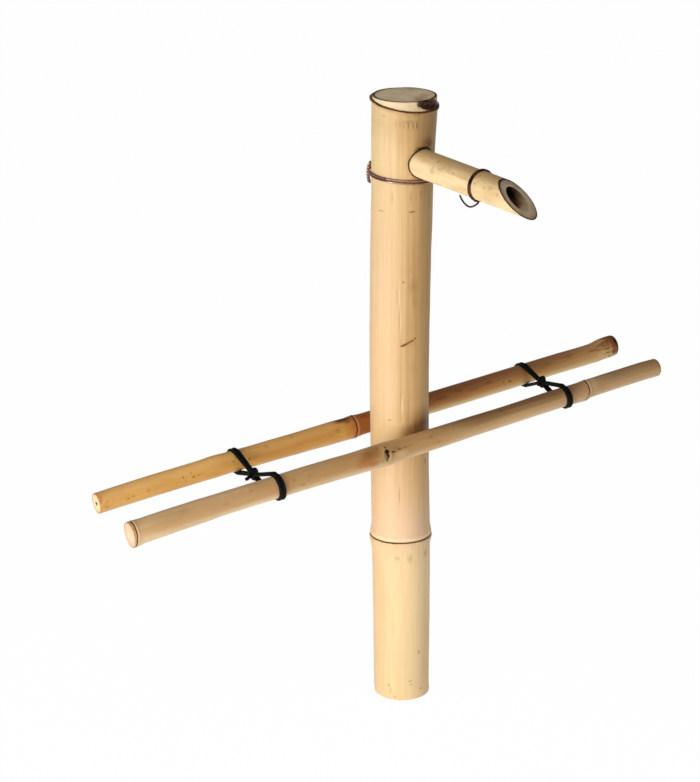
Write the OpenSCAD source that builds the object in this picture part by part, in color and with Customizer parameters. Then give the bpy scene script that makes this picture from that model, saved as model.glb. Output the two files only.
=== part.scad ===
// Pouring bamboo fountain: an upright bamboo post with a slanted-cut spout near its top, and a pair
// of thin canes lashed on both sides of the post, which rest on the rim of a bowl or a pot.
// Millimetres. The origin is the centre of the post's foot, +Z is up, +X runs along the canes and
// the spout points towards -Y.

/* [Post] */
// Height of the post
post_h = 457; // [430:1:500]
// Radius of the straight middle of the post, where the canes slide
post_r = 21.3; // [20:0.1:23]
// Radius of the post at its foot
foot_r = 20.4; // [19.5:0.1:22.5]
// Radius of the post at its top
top_r = 23.4; // [22.5:0.1:25]
// Wall of the post
post_wall = 5.8; // [4.8:0.1:7]
// Height of the lower node
low_node_z = 127; // [100:1:132]
// How far the lower node stands out
low_node_swell = 1.1; // [0.6:0.1:1.6]
// Length of the widening top
flare_len = 92; // [70:1:100]
// Thickness of the wooden disc that closes the post at its top
top_disc = 12; // [9:0.5:16]
// Thickness of the natural partition at the lower node
partition = 5; // [3:0.5:8]
// Depth of the top node's ring below the top
top_node_drop = 3.9; // [3.5:0.1:5]
// Slope of the top node's ring, in degrees
top_node_slope = 9.5; // [6:0.5:10]
// Radius of the rounded bead of the top node's ring
top_node_bead = 1.1; // [0.9:0.1:1.4]
// Radius of the branch scar in the top ring
scar_r = 4.6; // [3.5:0.1:6]
// Direction in which the top ring dips and the branch scar lies
scar_turn = -72; // [-90:1:-60]

/* [Spout] */
// Radius of the spout
spout_r = 10.2; // [9:0.1:11]
// Radius of the bore of the spout
spout_bore_r = 6.3; // [5.8:0.1:6.8]
// Depth of the spout's axis below the top of the post
spout_drop = 43.9; // [40:0.1:50]
// Reach from the post's axis to the middle of the slanted cut
spout_reach = 122.6; // [105:0.1:140]
// Fall of the spout, in degrees
spout_fall = 2.2; // [0:0.1:6]
// Direction of the spout seen from above, in degrees
spout_turn = -80.4; // [-90:0.1:-70]
// Slant of the cut against a square cut, in degrees
cut_slant = 58; // [45:1:62]
// Gap round the spout in its hole in the post
spout_fit = 0.15; // [0.1:0.05:0.3]

/* [Canes] */
// Height of the canes where they cross the post
arm_z = 209; // [200:1:240]
// Rise of the canes towards +X, in degrees
arm_tilt = 6; // [3:0.1:8]
// Reach of the canes on the left of the post
arm_left = 230.5; // [200:0.5:250]
// Reach of the canes on the right of the post
arm_right = 205; // [190:0.5:230]
// How much further left the front cane reaches
front_more_left = 1.2; // [0:0.1:6]
// Radius of the front cane at its left end
front_r_left = 8.8; // [8:0.1:9.5]
// Radius of the front cane at its right end
front_r_right = 6.8; // [6.3:0.1:8]
// Radius of the rear cane at its left end
rear_r_left = 7.6; // [7:0.1:8.5]
// Radius of the rear cane at its right end
rear_r_right = 7.6; // [7:0.1:8.5]
// Clearance between each cane and the post
slide_gap = 0.3; // [0.2:0.05:0.5]
// How far a cane's node stands out
cane_swell = 0.55; // [0.3:0.05:0.8]
// Place of the front cane's middle node
front_node = -27.5; // [-50:0.5:-26]
// Place of the front cane's right node
front_node_right = 139; // [135:0.5:170]
// Place of the rear cane's middle node
rear_node = -24.5; // [-60:0.5:-23]
// Place of the rear cane's right node
rear_node_right = 190; // [150:0.5:191]
// Radius of the pith hole in the rear cane's left end
pith_r = 1.1; // [0.8:0.1:2]
// Depth of the pith hole
pith_depth = 24; // [10:1:60]

/* [Ties] */
// Thickness of the tie cord
cord_d = 2.5; // [2:0.1:3]
// Gap between the two strands of the doubled cord
strand_gap = 0.45; // [0.42:0.01:0.8]
// Place of the left tie along the canes
tie_left = -120; // [-160:1:-60]
// Place of the right tie along the canes
tie_right = 121; // [60:1:128]
// Radius of the knot over its two turns
knot_r = 4.4; // [4:0.1:5]
// Length of a cord tail, from the middle of the knot
tail_len = 8.5; // [7:0.1:11]

/* [Wires] */
// Thickness of the copper wire
wire_d = 1.4; // [1.1:0.05:1.6]
// Gap between the turns of the wire
wire_gap = 0.45; // [0.42:0.01:0.8]
// Turns of each winding
wire_turns = 2; // [2:1:3]
// Depth of the post winding below the spout's axis
post_wire_drop = 13.8; // [13.4:0.1:22]
// Lean of the post winding, in degrees
post_wire_lean = 3; // [0:0.5:4]
// Direction in which the post winding's twisted end lies
twist_turn = 123; // [110:1:160]
// How far the twisted end stands above the winding
twist_up = 6.6; // [6:0.1:10]
// How far its folded leg hangs below the winding
twist_down = 9.8; // [3:0.1:11]
// Place of the spout winding along the spout
spout_wire_at = 85; // [70:0.5:96]
// Turn of the spout winding's tail away from straight down, in degrees
spout_tail_turn = -25; // [-40:1:0]

/* [Water path] */
// Outer radius of the supply hose
hose_r = 6.35; // [6:0.05:7]
// Bore radius of the supply hose
hose_bore_r = 4.75; // [4.5:0.05:4.9]
// Height of the hose's open end above the foot
hose_start = 12; // [8:1:40]
// Outer radius of the elbow's two legs
leg_r = 5; // [4.95:0.05:5.3]
// Bore radius of the elbow
elbow_bore_r = 3.4; // [3:0.1:3.8]
// Clearance between the elbow's leg and the hose that turns on it
turn_gap = 0.05; // [0.03:0.01:0.08]
// Length of the leg inside the hose
grip_len = 24; // [18:0.5:30]
// Length of the leg inside the spout
spout_leg_len = 32; // [28:0.5:45]
// Length of the rubber sleeve round that leg
seal_len = 17; // [10:0.5:18]
// Clearance on both sides of the sleeve
seal_gap = 0.1; // [0.05:0.01:0.2]

/* [Hidden] */

$fn = 72;
straw = [0.87, 0.74, 0.53];
pale_straw = [0.89, 0.77, 0.55];
front_tan = [0.75, 0.62, 0.42];
rear_gold = [0.78, 0.58, 0.31];
copper = [0.45, 0.26, 0.17];
cord_black = [0.06, 0.06, 0.07];
clear_vinyl = [0.82, 0.86, 0.87];
elbow_grey = [0.25, 0.26, 0.27];
rubber_black = [0.1, 0.1, 0.1];

seat = 0.3;                                   // gap where a wire or a cord lies on the bamboo
spout_z = post_h - spout_drop;
spout_root = hose_r + 2.4;                    // the spout's inner end stays clear of the hose
inner_r = post_r - post_wall;
strand_pitch = cord_d + strand_gap;
wire_pitch = wire_d + wire_gap;
post_wire_z = spout_z - post_wire_drop;
twist_r = wire_d;                             // two wires twisted together
tail_r = wire_d / 2 + 0.05;
fold_r = twist_r + 0.35;                      // half the distance between the folded legs
round_edge = 0.8;
far = 400;                                    // longer than any cut has to be

// Outer radius of the post at a height, without its nodes' beads
function post_r_at(z) =
    z < low_node_z ? foot_r + (post_r - foot_r) * z / low_node_z :
    z < post_h - flare_len ? post_r :
    post_r + (top_r - post_r) * (z - post_h + flare_len) / flare_len;

// Swelling of a node at a distance from its ring, with a fine line cut at the ring itself
function swelling(size, distance) =
    size * exp(-pow(distance / 3.6, 2)) - (abs(distance) < 0.5 ? 0.28 * size : 0);
node_steps = [-8, -5.5, -3.8, -2.4, -1.2, -0.6, -0.3, 0.3, 0.6, 1.2, 2.4, 3.8, 5.5, 8];

// Radius of a cane at a place along it, without its nodes
function cane_r_at(x, r_left, r_right) = r_left + (r_right - r_left) * (x + arm_left) / (arm_left + arm_right);
function front_r_at(x) = cane_r_at(x, front_r_left, front_r_right);
function rear_r_at(x) = cane_r_at(x, rear_r_left, rear_r_right);
front_y = -(post_r + slide_gap + front_r_at(0));
rear_y = post_r + slide_gap + rear_r_at(0);

// Tube swept along points, with rings that turn as little as possible from one to the next
function unit(v) = v / norm(v);
function heading(p, i) = unit(p[min(i + 1, len(p) - 1)] - p[max(i - 1, 0)]);
function carried(n, t) = unit(n - (n * t) * t);
function sides_of(p, start, i = 0, found = []) = i == len(p) ? found :
    sides_of(p, start, i + 1, concat(found, [carried(i == 0 ? start : found[i - 1], heading(p, i))]));
function first_side(t) = abs(t.z) < 0.9 ? cross(t, [0, 0, 1]) : cross(t, [1, 0, 0]);

module tube(p, r, corners = 6) {
    side = sides_of(p, first_side(heading(p, 0)));
    last = (len(p) - 1) * corners;
    points = [for (i = [0:len(p) - 1], k = [0:corners - 1])
        let (a = 360 * k / corners, n = side[i], b = cross(heading(p, i), n))
        p[i] + r * (cos(a) * n + sin(a) * b)];
    walls = [for (i = [0:len(p) - 2], k = [0:corners - 1], half = [0, 1])
        let (a = i * corners + k, b = i * corners + (k + 1) % corners, c = a + corners, d = b + corners)
        half == 0 ? [a, c, d] : [a, d, b]];
    start_cap = [for (k = [1:corners - 2]) [0, k, k + 1]];
    end_cap = [for (k = [1:corners - 2]) [last, last + k + 1, last + k]];
    polyhedron(points = points, faces = concat(walls, start_cap, end_cap));
}

// Least gap of a tube to itself, between points more than three diameters apart along it
function lengths(p, i = 0, found = [0]) = i == len(p) - 1 ? found :
    lengths(p, i + 1, concat(found, [found[i] + norm(p[i + 1] - p[i])]));
function least_gap(p, d) = let (along = lengths(p))
    min([for (i = [0:len(p) - 1], j = [i + 1:1:len(p) - 1])
        if (along[j] - along[i] > 3 * d) norm(p[i] - p[j]) - d]);

// Smooth curve through points chosen by hand
function curve_at(a, b, c, d, t) = 0.5 * (2 * b + (c - a) * t + (2 * a - 5 * b + 4 * c - d) * t * t
    + (3 * b - a - 3 * c + d) * t * t * t);
function smooth(p, steps) = concat([for (i = [0:len(p) - 2], k = [0:steps - 1])
    curve_at(p[max(i - 1, 0)], p[i], p[i + 1], p[min(i + 2, len(p) - 1)], k / steps)], [p[len(p) - 1]]);

// Winding round the Z axis at radius r: both ends leave it straight and meet a twisted end at radius
// lift, on the X axis
function winding(r, lift, end_r) = let (
    rise = acos(r / lift),
    reach = r * tan(rise),
    half = wire_turns / 2,
    first = end_r + seat,
    steps = round(24 * (wire_turns - rise / 180)),
    span = 360 * wire_turns - 2 * rise,
    start_z = wire_pitch * (half - rise / 360),
    near = [for (s = [first, first + wire_d, (first + wire_d + reach) / 2])
        [lift - s * sin(rise), s * cos(rise), start_z]],
    turns = [for (k = [0:steps]) let (a = rise + span * k / steps)
        [r * cos(a), r * sin(a), wire_pitch * (half - a / 360)]],
    far_side = [for (k = [2:-1:0]) [near[k].x, -near[k].y, -near[k].z]])
    concat(near, turns, far_side);

post_wire_r = post_r_at(post_wire_z) + seat + wire_d / 2;
post_twist_at = post_wire_r + wire_d / 2 + 0.4 + twist_r;
spout_wire_r = spout_r + seat + wire_d / 2;
spout_tail_at = spout_wire_r + wire_d / 2 + 0.4 + tail_r;
post_winding = winding(post_wire_r, post_twist_at, twist_r);
spout_winding = winding(spout_wire_r, spout_tail_at, tail_r);

// Twisted end of the post winding: up past the wire's ends, folded over and down again
fold_out = 1.2;                               // the folded leg passes outside the winding's end
twist_leg = [for (z = [-wire_pitch - 1.5, 0, twist_up / 2]) [post_twist_at, 0, z]];
twist_fold = [for (a = [0:30:180])
    [post_twist_at + fold_out * a / 180, fold_r * (1 - cos(a)), twist_up - fold_r - twist_r + fold_r * sin(a)]];
twist_back = [for (z = [twist_up / 2 - 1.5, 0, -twist_down / 2, -twist_down])
    [post_twist_at + fold_out, 2 * fold_r, z]];
post_twist = concat(twist_leg, twist_fold, twist_back);

// Tail of the spout winding: [height off the spout, place along it from the winding]
tail_off = spout_tail_at - spout_r;
tail_bend = [[tail_off, -2.6], [tail_off, 1.4], [tail_off + 0.7, 3.2], [tail_off + 2.1, 4],
    [tail_off + 3.5, 3], [tail_off + 4.5, 0], [tail_off + 4.8, -4.5], [tail_off + 4.2, -9.5],
    [tail_off + 2.5, -13.6], [2.6, -16]];
tail_foot = [[1.9, -16.4], [seat, -16.4]];
spout_tail = [for (q = concat(smooth(tail_bend, 3), tail_foot)) [spout_r + q[0], 0, q[1]]];

// Doubled cord round one cane: out of the knot, over and round the cane, back to a bight at the
// knot, and the same way back beside the first strand. side is -1 for the front cane, 1 for the rear.
function cord_loop(cane_radius, reach, side) = let (
    r = cane_radius + seat + cord_d / 2,
    rise = asin(r / reach),
    tangent = reach * cos(rise),
    knot_face = knot_r + seat,
    bight_at = knot_face + strand_pitch / 2 + cord_d / 2,
    sweep = 180 + 2 * rise,
    steps = round(24 * sweep / 360),
    leaving = [for (s = [knot_face, knot_face + cord_d, (knot_face + cord_d + tangent) / 2])
        [s * cos(rise), s * sin(rise)]],
    around = [for (k = [0:steps]) let (a = 90 + rise - sweep * k / steps)
        [reach + r * cos(a), r * sin(a)]],
    returning = [for (s = [(bight_at + tangent) / 2, bight_at]) [s * cos(rise), -s * sin(rise)]],
    strand = concat(leaving, around, returning),
    bight = [for (a = [30:30:150]) let (s = bight_at - strand_pitch / 2 * sin(a))
        [-strand_pitch / 2 * cos(a), side * s * cos(rise), -s * sin(rise)]])
    concat([for (q = strand) [-strand_pitch / 2, side * q[0], q[1]]], bight,
        [for (i = [len(strand) - 1:-1:0]) [strand_pitch / 2, side * strand[i][0], strand[i][1]]]);

left_front = cord_loop(front_r_at(tie_left), -front_y, -1);
left_rear = cord_loop(rear_r_at(tie_left), rear_y, 1);
right_front = cord_loop(front_r_at(tie_right), -front_y, -1);
right_rear = cord_loop(rear_r_at(tie_right), rear_y, 1);

echo(post_wire_gap = least_gap(post_winding, wire_d), spout_wire_gap = least_gap(spout_winding, wire_d));
echo(twist_gap = least_gap(post_twist, 2 * twist_r), tail_gap = least_gap(spout_tail, 2 * tail_r));
echo(loop_gaps = [for (p = [left_front, left_rear, right_front, right_rear]) least_gap(p, cord_d)]);

// Frames of the spout and of the pair of canes
module on_spout() translate([0, 0, spout_z]) rotate([0, 0, spout_turn]) rotate([0, spout_fall, 0]) children();
module on_arms() translate([0, 0, arm_z]) rotate([0, -arm_tilt, 0]) children();
module along_x() rotate([0, 90, 0]) children();

// Post: one culm with an open foot, a drilled partition, a closed top and a hole for the spout
module post() {
    profile = concat([[0, 0], [foot_r - round_edge, 0], [foot_r, round_edge]],
        [for (d = node_steps) [post_r_at(low_node_z + d) + swelling(low_node_swell, d), low_node_z + d]],
        [[post_r, post_h - flare_len], [post_r_at(post_h - round_edge), post_h - round_edge],
        [post_r_at(post_h) - round_edge, post_h], [0, post_h]]);
    color(straw) difference() {
        union() {
            rotate_extrude() polygon(profile);
            intersection() {
                translate([0, 0, post_h - top_node_drop]) rotate([0, 0, scar_turn]) rotate([0, top_node_slope, 0])
                    rotate_extrude() translate([top_r - top_node_bead / 2, 0]) circle(r = top_node_bead);
                cylinder(r = 2 * top_r, h = post_h);
            }
        }
        translate([0, 0, -1]) cylinder(r = foot_r - post_wall, h = low_node_z - partition / 2 + 1);
        translate([0, 0, low_node_z - partition]) cylinder(r = hose_r + 0.6, h = 2 * partition);
        translate([0, 0, low_node_z + partition / 2])
            cylinder(r = inner_r, h = post_h - top_disc - low_node_z - partition / 2);
        on_spout() along_x() cylinder(r = spout_r + spout_fit, h = far);
        rotate([0, 0, scar_turn]) translate([top_r + scar_r - 1.6, 0, post_h - top_node_drop]) sphere(r = scar_r);
    }
}

// Spout: a thinner culm, cut square inside the post and slanted at its lip
module spout() {
    lip = spout_reach + spout_r * tan(cut_slant);
    color(pale_straw) on_spout() difference() {
        along_x() translate([0, 0, spout_root]) cylinder(r = spout_r, h = lip - spout_root + 1);
        along_x() cylinder(r = spout_bore_r, h = far);
        translate([spout_reach, 0, 0]) rotate([0, -cut_slant, 0]) translate([0, -far / 2, -far / 2]) cube(far);
    }
}

// Rubber sleeve that seals the elbow's leg in the spout's bore
module spout_seal() {
    color(rubber_black) on_spout() along_x() translate([0, 0, spout_root + 3]) difference() {
        cylinder(r = spout_bore_r - seal_gap, h = seal_len);
        translate([0, 0, -1]) cylinder(r = leg_r + seal_gap, h = seal_len + 2);
    }
}

// Elbow: one leg down into the hose and one along the spout, with a round shoulder between them
module hose_elbow() {
    shoulder_r = leg_r + 1.4;
    color(elbow_grey) difference() {
        union() {
            translate([0, 0, spout_z]) sphere(r = shoulder_r);
            translate([0, 0, spout_z - shoulder_r - grip_len]) cylinder(r = leg_r, h = grip_len + shoulder_r);
            on_spout() along_x() cylinder(r = leg_r, h = spout_leg_len);
        }
        translate([0, 0, spout_z - far / 2]) cylinder(r = elbow_bore_r, h = far / 2);
        on_spout() along_x() cylinder(r = elbow_bore_r, h = far);
        translate([0, 0, spout_z]) sphere(r = elbow_bore_r);
    }
}

// Supply hose: a straight clear tube up the inside of the post, stretched over the elbow's leg
module supply_hose() {
    hose_top = spout_z - leg_r - 1.4 - seat;
    grip_at = spout_z - leg_r - 1.4 - grip_len;
    color(clear_vinyl) difference() {
        union() {
            translate([0, 0, hose_start]) cylinder(r = hose_r, h = hose_top - hose_start);
            translate([0, 0, grip_at]) cylinder(r = hose_r + leg_r - hose_bore_r, h = hose_top - grip_at);
        }
        translate([0, 0, hose_start - 1]) cylinder(r = hose_bore_r, h = far * 2);
        translate([0, 0, grip_at - seat]) cylinder(r = leg_r + turn_gap, h = far);
    }
}

// Wires
module on_post_wire() translate([0, 0, post_wire_z]) rotate([0, post_wire_lean, -10]) rotate([0, 0, twist_turn + 10])
    children();
module on_spout_wire() on_spout() rotate([spout_tail_turn, 0, 0]) translate([spout_wire_at, 0, 0]) along_x() children();
module post_wire() color(copper) on_post_wire() tube(post_winding, wire_d / 2);
module post_wire_twist() color(copper) on_post_wire() tube(post_twist, twist_r);
module spout_wire() color(copper) on_spout_wire() tube(spout_winding, wire_d / 2);
module spout_wire_tail() color(copper) on_spout_wire() tube(spout_tail, tail_r);

// Cane: a tapering culm with rounded ends and swollen nodes
module cane(r_left, r_right, nodes, more_left = 0) {
    end_left = -arm_left - more_left;
    profile = concat([[0, end_left], [r_left - round_edge, end_left], [r_left, end_left + round_edge]],
        [for (x = nodes, d = node_steps) [cane_r_at(x + d, r_left, r_right) + swelling(cane_swell, d), x + d]],
        [[r_right, arm_right - round_edge], [r_right - round_edge, arm_right], [0, arm_right]]);
    along_x() rotate_extrude() polygon(profile);
}
module front_cane() color(front_tan) on_arms() translate([0, front_y, 0])
    cane(front_r_left, front_r_right, [front_node, front_node_right], front_more_left);
module rear_cane() color(rear_gold) on_arms() translate([0, rear_y, 0]) difference() {
    cane(rear_r_left, rear_r_right, [rear_node, rear_node_right]);
    translate([-arm_left - 1, 0, 0]) along_x() cylinder(r = pith_r, h = pith_depth + 1);
}

// Knot: two turns of cord round the crossing, with two short tails
module knot(up_lean) {
    core = knot_r - strand_pitch / 2;
    along_x() rotate_extrude() {
        translate([0, -strand_pitch]) square([core, 2 * strand_pitch]);
        for (s = [-0.5, 0.5]) translate([core, s * strand_pitch]) circle(r = strand_pitch / 2);
    }
    rotate([12, -98, 0]) cylinder(r = cord_d / 2, h = tail_len);
    rotate([0, up_lean, 0]) cylinder(r = cord_d / 2, h = tail_len - 1.2);
}
module tie(x) on_arms() translate([x, 0, 0]) color(cord_black) children();
module left_tie_front_loop() tie(tie_left) tube(left_front, cord_d / 2);
module left_tie_rear_loop() tie(tie_left) tube(left_rear, cord_d / 2);
module left_tie_knot() tie(tie_left) knot(-160);
module right_tie_front_loop() tie(tie_right) tube(right_front, cord_d / 2);
module right_tie_rear_loop() tie(tie_right) tube(right_rear, cord_d / 2);
module right_tie_knot() tie(tie_right) knot(-20);

post();
spout();
spout_seal();
hose_elbow();
supply_hose();
post_wire();
post_wire_twist();
spout_wire();
spout_wire_tail();
front_cane();
rear_cane();
left_tie_front_loop();
left_tie_rear_loop();
left_tie_knot();
right_tie_front_loop();
right_tie_rear_loop();
right_tie_knot();
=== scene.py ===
# Pouring bamboo fountain: detailed culms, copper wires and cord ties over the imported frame.
# Shapes are worked out in millimetres in each piece's own frame and put into the mesh in metres.
import math

import bpy
import numpy as np
from mathutils import Matrix


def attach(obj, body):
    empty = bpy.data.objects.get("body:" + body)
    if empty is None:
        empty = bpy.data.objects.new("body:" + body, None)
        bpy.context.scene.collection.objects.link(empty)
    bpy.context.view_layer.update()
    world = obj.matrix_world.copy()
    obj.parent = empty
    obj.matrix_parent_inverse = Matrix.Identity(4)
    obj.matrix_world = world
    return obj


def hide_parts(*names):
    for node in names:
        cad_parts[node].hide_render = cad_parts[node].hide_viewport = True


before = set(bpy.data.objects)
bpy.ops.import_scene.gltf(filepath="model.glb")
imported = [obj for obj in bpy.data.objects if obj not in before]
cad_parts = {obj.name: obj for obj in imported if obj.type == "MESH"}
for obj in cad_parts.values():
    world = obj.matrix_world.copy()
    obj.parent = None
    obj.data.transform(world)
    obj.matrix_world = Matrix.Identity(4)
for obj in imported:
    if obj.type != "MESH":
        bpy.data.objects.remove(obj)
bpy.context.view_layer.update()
scene = bpy.context.scene
mm = 0.001
print("frame loaded")

# Camera: turn and height look at the target, then a small aim and roll set the photograph's framing
cameraSetup = {"turn": -29.6925, "height": 20.0001, "distance": 2.00012, "target": (0, 0, 0.2285),
    "aimRight": -0.0187, "aimUp": 0.0044, "roll": -0.0039, "lens": 127.18}


def unit(v):
    return np.asarray(v, float) / np.linalg.norm(v)


def place(made, side, up, back, where):
    turned = np.eye(4)
    turned[:3] = np.stack([side, up, back, where], -1)
    made.matrix_world = Matrix(turned.tolist())
    scene.collection.objects.link(made)


def makeCamera(setup):
    turn, height, roll = math.radians(setup["turn"]), math.radians(setup["height"]), setup["roll"]
    back = np.array([math.sin(turn) * math.cos(height), -math.cos(turn) * math.cos(height),
        math.sin(height)])
    where = np.array(setup["target"]) + back * setup["distance"]
    side = unit(np.cross(-back, [0, 0, 1]))
    look = unit(-back + side * setup["aimRight"] + np.cross(side, -back) * setup["aimUp"])
    side = unit(np.cross(look, [0, 0, 1]))
    up = np.cross(side, look)
    side, up = math.cos(roll) * side + math.sin(roll) * up, math.cos(roll) * up - math.sin(roll) * side
    data = bpy.data.cameras.new("camera")
    data.sensor_width, data.lens = 36, setup["lens"]
    data.clip_start, data.clip_end = 0.05, 50
    made = bpy.data.objects.new("camera", data)
    place(made, side, up, -look, where)
    scene.camera = made


makeCamera(cameraSetup)
scene.view_settings.view_transform = "Standard"
print("camera placed")


# Frames of the culms: axes holds side, up and along as columns, in the frame of the whole part
def axisTurn(axis, degrees):
    c, s = math.cos(math.radians(degrees)), math.sin(math.radians(degrees))
    i, j = {"x": (1, 2), "y": (2, 0), "z": (0, 1)}[axis]
    m = np.eye(3)
    m[i, i], m[j, j], m[i, j], m[j, i] = c, c, -s, s
    return m


cameraRight = math.radians(-29.7)      # the direction to the camera's right
frontOff, rearOff = -29.3415, 29.2     # the canes' straight lines beside the post's
swap = [1, 2, 0]                       # local y, z and x become side, up and along
postCulm = {"origin": np.zeros(3), "axes": np.eye(3)}
spoutTurned = axisTurn("z", -80.4) @ axisTurn("y", 2.2)
spoutCulm = {"origin": np.array([0, 0, 413.1]), "axes": spoutTurned[:, swap]}
armTurned = axisTurn("y", -6)
armOrigin = np.array([0, 0, 209.0])
frontCulm = {"origin": armOrigin + armTurned @ [0, frontOff, 0], "axes": armTurned[:, swap]}
rearCulm = {"origin": armOrigin + armTurned @ [0, rearOff, 0], "axes": armTurned[:, swap]}


# Shape helpers
def ease(x, low, high):
    # 3 t^2 - 2 t^3 of the share t of the way from low to high
    t = np.clip((x - low) / (high - low), 0, 1)
    return t * t * (3 - 2 * t)


def easeThrough(x, table):
    # passes through the table's (place, value) pairs with level ends between neighbours
    places, values = np.array(table, float).T
    k = np.clip(np.searchsorted(places, x) - 1, 0, len(places) - 2)
    return values[k] + (values[k + 1] - values[k]) * ease(x, places[k], places[k + 1])


def hump(x, middle, width):
    return np.exp(-(((x - middle) / width) ** 2))


def addHumps(r, x, table):
    # each row of the table is a height, its middle and its width
    for height, middle, width in table:
        r = r + height * hump(x, middle, width)
    return r


def wrapAngle(a):
    return (a + math.pi) % (2 * math.pi) - math.pi


def band(x, ref=None, scale=1.0, inset=0.0, fixed=0.0):
    # rows of a culm's profile: place, place the radius is read at, and r = scale (radius - inset) + fixed
    x = np.atleast_1d(np.asarray(x, float))
    return np.stack([np.broadcast_to(np.asarray(v, float), x.shape) for v in
        (x, x if ref is None else ref, scale, inset, fixed)], -1)


def stations(low, high, step, fine, fineStep=0.4, reach=7.0):
    # places along a culm, closer together round each place in fine
    places = [np.arange(low, high, step)] + [np.arange(f - reach, f + reach, fineStep) for f in fine]
    places = np.unique(np.round(np.concatenate(places), 3))
    places = places[(places > low) & (places < high)]
    return places[np.diff(places, prepend=-1e9) > 0.15]


def culmRings(profile, around, radiusAt, centreAt, culm):
    # point = origin + axes . (centre + r (cos a, sin a), place)
    a = np.arange(around) * 2 * math.pi / around
    x, ref, scale, inset, fixed = (profile[:, k, None] for k in range(5))
    r = scale * (radiusAt(ref, a) - inset) + fixed
    side, up = centreAt(x)
    local = np.stack([side + r * np.cos(a), up + r * np.sin(a), x + 0 * a], -1)
    return culm["origin"] + local @ culm["axes"].T, r


def poleOf(x, centreAt, culm):
    side, up = centreAt(np.array([[x]], float))
    return culm["origin"] + culm["axes"] @ [float(side.ravel()[0]), float(up.ravel()[0]), x]


def closedSurface(name, rings, startPole=None, endPole=None, torus=False):
    # a grid that closes round every ring; a pole is one point that closes an end with triangles
    count, around = rings.shape[:2]
    i, j = np.arange(count if torus else count - 1)[:, None], np.arange(around)[None]
    a, b = i * around + j, i * around + (j + 1) % around
    c, d = (i + 1) % count * around + (j + 1) % around, (i + 1) % count * around + j
    quads = np.stack([a, b, c, d], -1).reshape(-1, 4)
    points = [rings.reshape(-1, 3)]
    fans, total, k = [], count * around, np.arange(around)
    for pole, first, flip in ((startPole, 0, True), (endPole, (count - 1) * around, False)):
        if pole is not None:
            ends = (first + k, first + (k + 1) % around)
            fans.append(np.stack([*(ends[::-1] if flip else ends), np.full(around, total)], -1))
            points.append(np.asarray(pole, float)[None])
            total += 1
    points = np.concatenate(points)
    fans = np.concatenate(fans) if fans else np.zeros((0, 3), int)
    triangles = np.concatenate([quads[:, :3], quads[:, [0, 2, 3]], fans])
    p, q, r = (points[triangles[:, n]] for n in range(3))
    if np.einsum("ij,ij->i", p, np.cross(q, r)).sum() < 0:          # turned so that the faces look outwards
        quads, fans = quads[:, ::-1], fans[:, ::-1]
    mesh = bpy.data.meshes.new(name)
    mesh.from_pydata((points * mm).tolist(), [], quads.tolist() + fans.tolist())
    mesh.shade_smooth()
    return mesh


def pointsOf(mesh):
    found = np.zeros(len(mesh.vertices) * 3)
    mesh.vertices.foreach_get("co", found)
    return found.reshape(-1, 3) / mm


def facesOf(mesh):
    centres, normals = np.zeros(len(mesh.polygons) * 3), np.zeros(len(mesh.polygons) * 3)
    mesh.polygons.foreach_get("center", centres)
    mesh.polygons.foreach_get("normal", normals)
    return centres.reshape(-1, 3) / mm, normals.reshape(-1, 3)


def toLocal(points, culm):
    return (points - culm["origin"]) @ culm["axes"]


def addAttribute(mesh, name, values):
    made = mesh.attributes.new(name, "FLOAT", "POINT")
    made.data.foreach_set("value", np.asarray(values, np.float32).ravel())


def addPiece(name, mesh, materials, body, nodes):
    made = bpy.data.objects.new(name, mesh)
    scene.collection.objects.link(made)
    for material in materials:
        mesh.materials.append(material)
    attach(made, body)
    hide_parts(*nodes)
    print(name, len(mesh.vertices), "points")


# Node helpers
def fill(tree, made, values):
    # a socket is linked and anything else is set
    for key, value in values.items():
        if isinstance(value, bpy.types.NodeSocket):
            tree.links.new(value, made.inputs[key])
        else:
            made.inputs[key].default_value = value
    return made


def addNode(tree, kind, values=None, **settings):
    made = tree.nodes.new("ShaderNode" + kind)
    for key, value in settings.items():
        setattr(made, key, value)
    return fill(tree, made, values or {})


def maths(tree, operation, *values):
    return addNode(tree, "Math", dict(enumerate(values)), operation=operation).outputs[0]


def times(tree, a, b):
    return maths(tree, "MULTIPLY", a, b)


def plus(tree, a, b):
    return maths(tree, "ADD", a, b)


def minus(tree, a, b):
    return maths(tree, "SUBTRACT", a, b)


def vectorMaths(tree, operation, *values):
    made = addNode(tree, "VectorMath", dict(enumerate(values)), operation=operation)
    return made.outputs["Value" if operation == "LENGTH" else "Vector"]


def remap(tree, value, fromLow, fromHigh, toLow=0.0, toHigh=1.0, kind="SMOOTHSTEP"):
    return addNode(tree, "MapRange", {"Value": value, "From Min": fromLow, "From Max": fromHigh,
        "To Min": toLow, "To Max": toHigh}, interpolation_type=kind).outputs["Result"]


def mixColour(tree, factor, a, b, blend="MIX"):
    return addNode(tree, "Mix", {0: factor, 6: a, 7: b}, data_type="RGBA", blend_type=blend).outputs[2]


def bumped(tree, height, strength, deep):
    return addNode(tree, "Bump", {"Strength": strength, "Distance": deep * mm, "Height": height}).outputs[0]


def objectPlace(tree):
    return addNode(tree, "TexCoord").outputs["Object"]


def noise(tree, vector, scale, detail=3.0, roughness=0.55):
    return addNode(tree, "TexNoise", {"Vector": vector, "Scale": scale, "Detail": detail,
        "Roughness": roughness}).outputs[0]


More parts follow.
